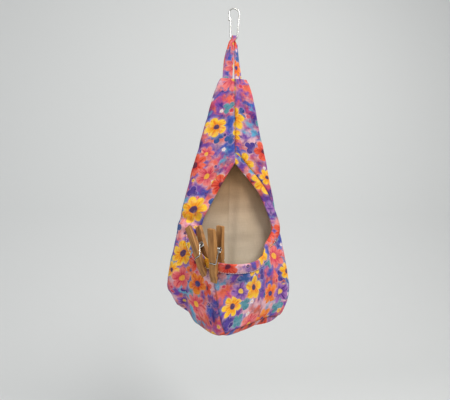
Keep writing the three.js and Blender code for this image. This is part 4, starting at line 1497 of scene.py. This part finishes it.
# %% Steel
STEEL_LINES = (2600.0, 2600.0, 260.0)
STEEL_STOPS = [(0.35, paint(214, 214, 212)), (0.68, paint(168, 166, 160))]
TARNISH_SCALE = 190.0
STEEL_ROUGHNESS = 0.14
STEEL_LINE_ROUGHNESS = 0.22
STEEL_LINE_RELIEF = 0.03 * MM
STEEL_LINE_BUMP = 0.4
WIRE_SMOOTH_ANGLE = math.radians(50)


def make_steel():
    material, tree, shader = new_material("drawn_steel", Metallic=1.0, Specular_IOR_Level=0.5)
    place = add_node(tree, "TexCoord").outputs["Object"]
    lines = noise(tree, vector_calc(tree, "MULTIPLY", place, STEEL_LINES), 1.0, detail=3.0)["Fac"]
    tarnish = noise(tree, place, TARNISH_SCALE, detail=4.0)["Fac"]
    plug(tree, shader.inputs["Base Color"], colour_ramp(tree, tarnish, STEEL_STOPS))
    rough = calc(tree, "MULTIPLY_ADD", lines, STEEL_LINE_ROUGHNESS, STEEL_ROUGHNESS)
    plug(tree, shader.inputs["Roughness"], rough)
    bump(tree, shader, lines, STEEL_LINE_RELIEF, STEEL_LINE_BUMP)
    return material


def bend_wire(name, path, diameter, roundness):
    curve = bpy.data.curves.new(name, "CURVE")
    curve.dimensions = "3D"
    curve.bevel_depth = diameter / 2
    curve.bevel_resolution = roundness
    curve.use_fill_caps = True
    spline = curve.splines.new("POLY")
    spline.points.add(len(path) - 1)
    spline.points.foreach_set("co", np.hstack([path, np.ones((len(path), 1))]).ravel())
    wire = bpy.data.objects.new(name, curve)
    bpy.context.collection.objects.link(wire)
    select_alone(wire)
    bpy.ops.object.convert(target="MESH")
    wire = bpy.context.object
    wire.data.materials.clear()
    wire.data.materials.append(steel)
    bpy.ops.object.shade_smooth_by_angle(angle=WIRE_SMOOTH_ANGLE)
    return wire


steel = make_steel()
print("material:", steel.name)

# %% [markdown]
# ## Ring and latch
# The ring is one long eye of wire. It could be drawn freehand, but a bender makes arcs and straights, and
# these need only two radii and a length. Two arcs and the straight line between them make its closed side,
# and its nose hangs down on the left. The free leg stands on the lower bend with its tip inside the nose. It
# can be pressed open, so it is a wire of its own.

# %% Ring and latch
RING_WIRE = 2.0 * MM
RING_ROUNDNESS = 4
RING_INSIDE_LENGTH = 44 * MM
RING_TOP_RADIUS = 7.5 * MM
RING_BOTTOM_RADIUS = 5.2 * MM
NOSE_DROP = 13 * MM
NOSE_OVERLAP = 4.5 * MM
WIRE_GAP = 0.3 * MM
LATCH_GAP_ANGLE = 0.02
BEND_POINTS = 40
LATCH_POINTS = 24

ring_top = np.array([0, 0, RING_WIRE / 2 - RING_TOP_RADIUS])
ring_bottom = np.array([0, 0, RING_BOTTOM_RADIUS - RING_WIRE / 2 - RING_INSIDE_LENGTH])
lean = math.asin((RING_TOP_RADIUS - RING_BOTTOM_RADIUS) / (ring_top[2] - ring_bottom[2]))


def arc(centre, radius, start, end):
    angle = np.linspace(start, end, BEND_POINTS)
    return centre + radius * np.stack([np.cos(angle), 0 * angle, np.sin(angle)], -1)


nose_tip = np.array([-RING_TOP_RADIUS, 0, -NOSE_DROP - NOSE_OVERLAP])
latch_foot = arc(ring_bottom, RING_BOTTOM_RADIUS, math.pi + lean, math.pi + lean)[0]
latch_tip = np.array([nose_tip[0] + RING_WIRE + WIRE_GAP, 0, -NOSE_DROP])
ring_path = np.vstack([
    arc(ring_bottom, RING_BOTTOM_RADIUS, math.pi + lean + LATCH_GAP_ANGLE, 2 * math.pi - lean),
    arc(ring_top, RING_TOP_RADIUS, -lean, math.pi),
    nose_tip,
])
latch_path = np.linspace(latch_foot, latch_tip, LATCH_POINTS)
for name, body, node, path in (
        ("ring_bent_wire", "ring", "ring_wire", ring_path),
        ("ring_sprung_leg", "latch", "ring_latch", latch_path)):
    wire = bend_wire(name, path, RING_WIRE, RING_ROUNDNESS)
    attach(wire, body)
    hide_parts(node)
    print(name, "faces:", len(wire.data.polygons))

# %% [markdown]
# ## Weathered wood
# The pegs are bare wood that has been out in all weathers: streaks of growth rings along the leg, dark
# pores and brown stains. Noise that is stretched along the grain gives the streaks. The grain has to run
# along each leg whichever way the peg is turned, so the wood reads an attribute that holds the place in
# the peg's own frame.

# %% Wood
GRAIN_SWAY_SCALE = 40.0
GRAIN_SWAY = 0.0016
STREAK_STRETCH = (18.0, 420.0, 420.0)
PORE_STRETCH = (60.0, 2200.0, 2200.0)
WOOD_STOPS = [
    (0.28, paint(114, 74, 38)), (0.45, paint(162, 110, 58)),
    (0.60, paint(186, 134, 76)), (0.78, paint(144, 96, 50)),
]
PORE_COLOUR = paint(84, 56, 30)
PORES_SHOW = (0.62, 0.72, 0.5)
STAIN_COLOUR = paint(98, 72, 46)
STAIN_SCALE = 95.0
STAINS_SHOW = (0.48, 0.75, 0.5)
WOOD_ROUGHNESS = 0.5
STREAK_ROUGHNESS = 0.2
PORE_RELIEF = 0.6
GRAIN_RELIEF = 0.15 * MM
GRAIN_BUMP = 0.5


def make_wood():
    material, tree, shader = new_material("weathered_peg_wood", Specular_IOR_Level=0.35)
    place = add_node(tree, "Attribute", attribute_name="peg_place").outputs["Vector"]
    swaying = noise(tree, scaled(tree, place, GRAIN_SWAY_SCALE), 1.0)["Color"]
    swayed = vector_calc(tree, "ADD", place, scaled(tree, swaying, GRAIN_SWAY))
    fibre = vector_calc(tree, "MULTIPLY", swayed, STREAK_STRETCH)
    streaks = noise(tree, fibre, 1.0, detail=3.0, roughness=0.6)["Fac"]
    fine = noise(tree, vector_calc(tree, "MULTIPLY", place, PORE_STRETCH), 1.0, detail=2.0)["Fac"]
    stain = noise(tree, place, STAIN_SCALE, detail=4.0)["Fac"]
    sawn = colour_ramp(tree, streaks, WOOD_STOPS)
    sawn = mix_colours(tree, smooth_step(tree, fine, *PORES_SHOW), sawn, PORE_COLOUR)
    sawn = mix_colours(tree, smooth_step(tree, stain, *STAINS_SHOW), sawn, STAIN_COLOUR)
    plug(tree, shader.inputs["Base Color"], sawn)
    rough = calc(tree, "MULTIPLY_ADD", streaks, STREAK_ROUGHNESS, WOOD_ROUGHNESS)
    plug(tree, shader.inputs["Roughness"], rough)
    grain = calc(tree, "MULTIPLY_ADD", fine, PORE_RELIEF, streaks)
    bump(tree, shader, grain, GRAIN_RELIEF, GRAIN_BUMP)
    return material


wood = make_wood()
print("material:", wood.name)

# %% [markdown]
# ## Peg legs
# Each peg is two sawn legs and one spring. The legs of the solid model have the right shape but sharp
# edges. A copy of each is merged into one skin, its flat faces are dissolved back into single ones, and a
# Bevel modifier rounds the edges as sanding does. The two legs of a peg start at different places of the
# grain.

# %% Peg legs
PEG_PIVOT = 43 * MM
PEG_EDGE = 0.5 * MM
PEG_EDGE_STEPS = 3
PEG_EDGE_ANGLE = math.radians(35)
PEG_SMOOTH_ANGLE = math.radians(30)
FLAT_ANGLE = math.radians(2)
SKIN_MERGE_DISTANCE = 1e-5
GRAIN_SHIFT = Vector((0.13, 0.07, 0.05))
GRAIN_STEPS = {"left_front": 4, "left_back": 3, "right_front": 5, "right_back": 4}

joints = {joint["name"]: joint for joint in frame["record"]["behaviour"]["joints"]}


def middle_of(node):
    low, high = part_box(node)
    return (Vector(low) + Vector(high)) / 2


def peg_frame(side):
    """The peg's own frame: X along the legs, Y out through the front leg, Z along the hinge."""
    hinge = joints[f"{side}_peg_squeeze"]
    z = Vector(hinge["axis"]).normalized()
    y = middle_of(f"{side}_peg_front_leg") - middle_of(f"{side}_peg_back_leg")
    y = (y - z * y.dot(z)).normalized()
    x = y.cross(z)
    tip = Vector(hinge["pos_m"]) - x * PEG_PIVOT
    return Matrix.Translation(tip) @ Matrix((x, y, z)).transposed().to_4x4()


def copy_solid(name, node):
    source = frame["nodes"][node]
    piece = source.copy()
    piece.data = source.data.copy()
    piece.name = name
    piece.data.name = name
    piece.parent = None
    piece.matrix_world = Matrix.Identity(4)
    bpy.context.collection.objects.link(piece)
    return piece


def make_leg(side, part, body):
    leg = copy_solid(f"{side}_peg_{part}_sawn_leg", f"{side}_peg_{part}_leg")
    edit(leg)
    bpy.ops.mesh.remove_doubles(threshold=SKIN_MERGE_DISTANCE)
    bpy.ops.mesh.dissolve_limited(angle_limit=FLAT_ANGLE)
    done_editing()
    apply_modifier(leg, "BEVEL", width=PEG_EDGE, segments=PEG_EDGE_STEPS, limit_method="ANGLE",
                   angle_limit=PEG_EDGE_ANGLE, use_clamp_overlap=True)
    apply_modifier(leg, "TRIANGULATE")
    to_peg = peg_frame(side).inverted()
    shift = GRAIN_SHIFT * GRAIN_STEPS[f"{side}_{part}"]
    places = leg.data.attributes.new("peg_place", "FLOAT_VECTOR", "POINT")
    places.data.foreach_set("vector", [c for v in leg.data.vertices for c in (to_peg @ v.co + shift)])
    leg.data.materials.clear()
    leg.data.materials.append(wood)
    bpy.ops.object.shade_smooth_by_angle(angle=PEG_SMOOTH_ANGLE)
    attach(leg, body)
    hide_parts(f"{side}_peg_{part}_leg")
    print(leg.name, "faces:", len(leg.data.polygons))


for side in ("left", "right"):
    make_leg(side, "front", f"{side}_peg")
    make_leg(side, "back", f"{side}_peg_inner")

# %% [markdown]
# ## Peg springs
# A peg's spring is one wire: a coil between the legs, and two arms that bend over into a groove in the
# outer face of each leg. The path is worked out in the peg's own frame, and an arm leaves the coil along
# the tangent that points at its groove. One end moves with each leg.

# %% Peg springs
PEG_GROOVE = 27 * MM
PEG_WIDTH = 10.5 * MM
PEG_GROOVE_DEPTH = 1.3 * MM
LEG_OUTER = 10.15 * MM
PEG_GAP = 0.3 * MM
SPRING_WIRE = 1.35 * MM
SPRING_ROUNDNESS = 3
SPRING_BEND = SPRING_WIRE * 0.9
SPRING_BEND_POINTS = 6
SPRING_ARM_SHARES = np.linspace(0.15, 0.9, 5)
SPRING_COIL_RADIUS = 3.3 * MM
SPRING_CURLS = 5
CURL_POINTS = 20
SPRING_SIDE = PEG_WIDTH / 2 + PEG_GAP + SPRING_WIRE / 2
GROOVE_Y = LEG_OUTER - PEG_GROOVE_DEPTH + PEG_GAP + SPRING_WIRE / 2


def spring_coil():
    reach = math.hypot(PEG_GROOVE - PEG_PIVOT, GROOVE_Y)
    leave = math.atan2(GROOVE_Y, PEG_GROOVE - PEG_PIVOT) - math.acos(SPRING_COIL_RADIUS / reach)
    turn = 2 * (SPRING_CURLS * math.pi + leave)
    steps = math.ceil(turn / (2 * math.pi) * CURL_POINTS)
    angle = np.linspace(-leave, -leave + turn, steps + 1)
    return np.stack([
        PEG_PIVOT + SPRING_COIL_RADIUS * np.cos(angle),
        SPRING_COIL_RADIUS * np.sin(angle),
        np.linspace(-SPRING_SIDE, SPRING_SIDE, steps + 1),
    ], -1)


def spring_arm(start, hand):
    """From the coil straight to the groove, round a bend and across the leg."""
    corner = np.array([PEG_GROOVE, hand * GROOVE_Y, hand * SPRING_SIDE])
    towards = unit(start - corner)
    leg = np.array([0, 0, -hand])
    quarter = np.linspace(0, math.pi / 2, SPRING_BEND_POINTS)[:, None]
    bend = corner + SPRING_BEND * (towards * (1 - np.sin(quarter)) + leg * (1 - np.cos(quarter)))
    straight = start + (bend[0] - start) * SPRING_ARM_SHARES[:, None]
    far = np.array([*corner[:2], -hand * (PEG_WIDTH / 2 - SPRING_WIRE)])
    return np.vstack([straight, bend, far])


def make_spring(side):
    place = peg_frame(side)
    coil = spring_coil()
    path = np.vstack([spring_arm(coil[0], -1)[::-1], coil, spring_arm(coil[-1], 1)])
    path = np.array([place @ Vector(p) for p in path])
    spring = bend_wire(f"{side}_peg_coil", path, SPRING_WIRE, SPRING_ROUNDNESS)
    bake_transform(spring)
    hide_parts(f"{side}_peg_spring")
    print(spring.name, "faces:", len(spring.data.polygons))


make_spring("left")
make_spring("right")
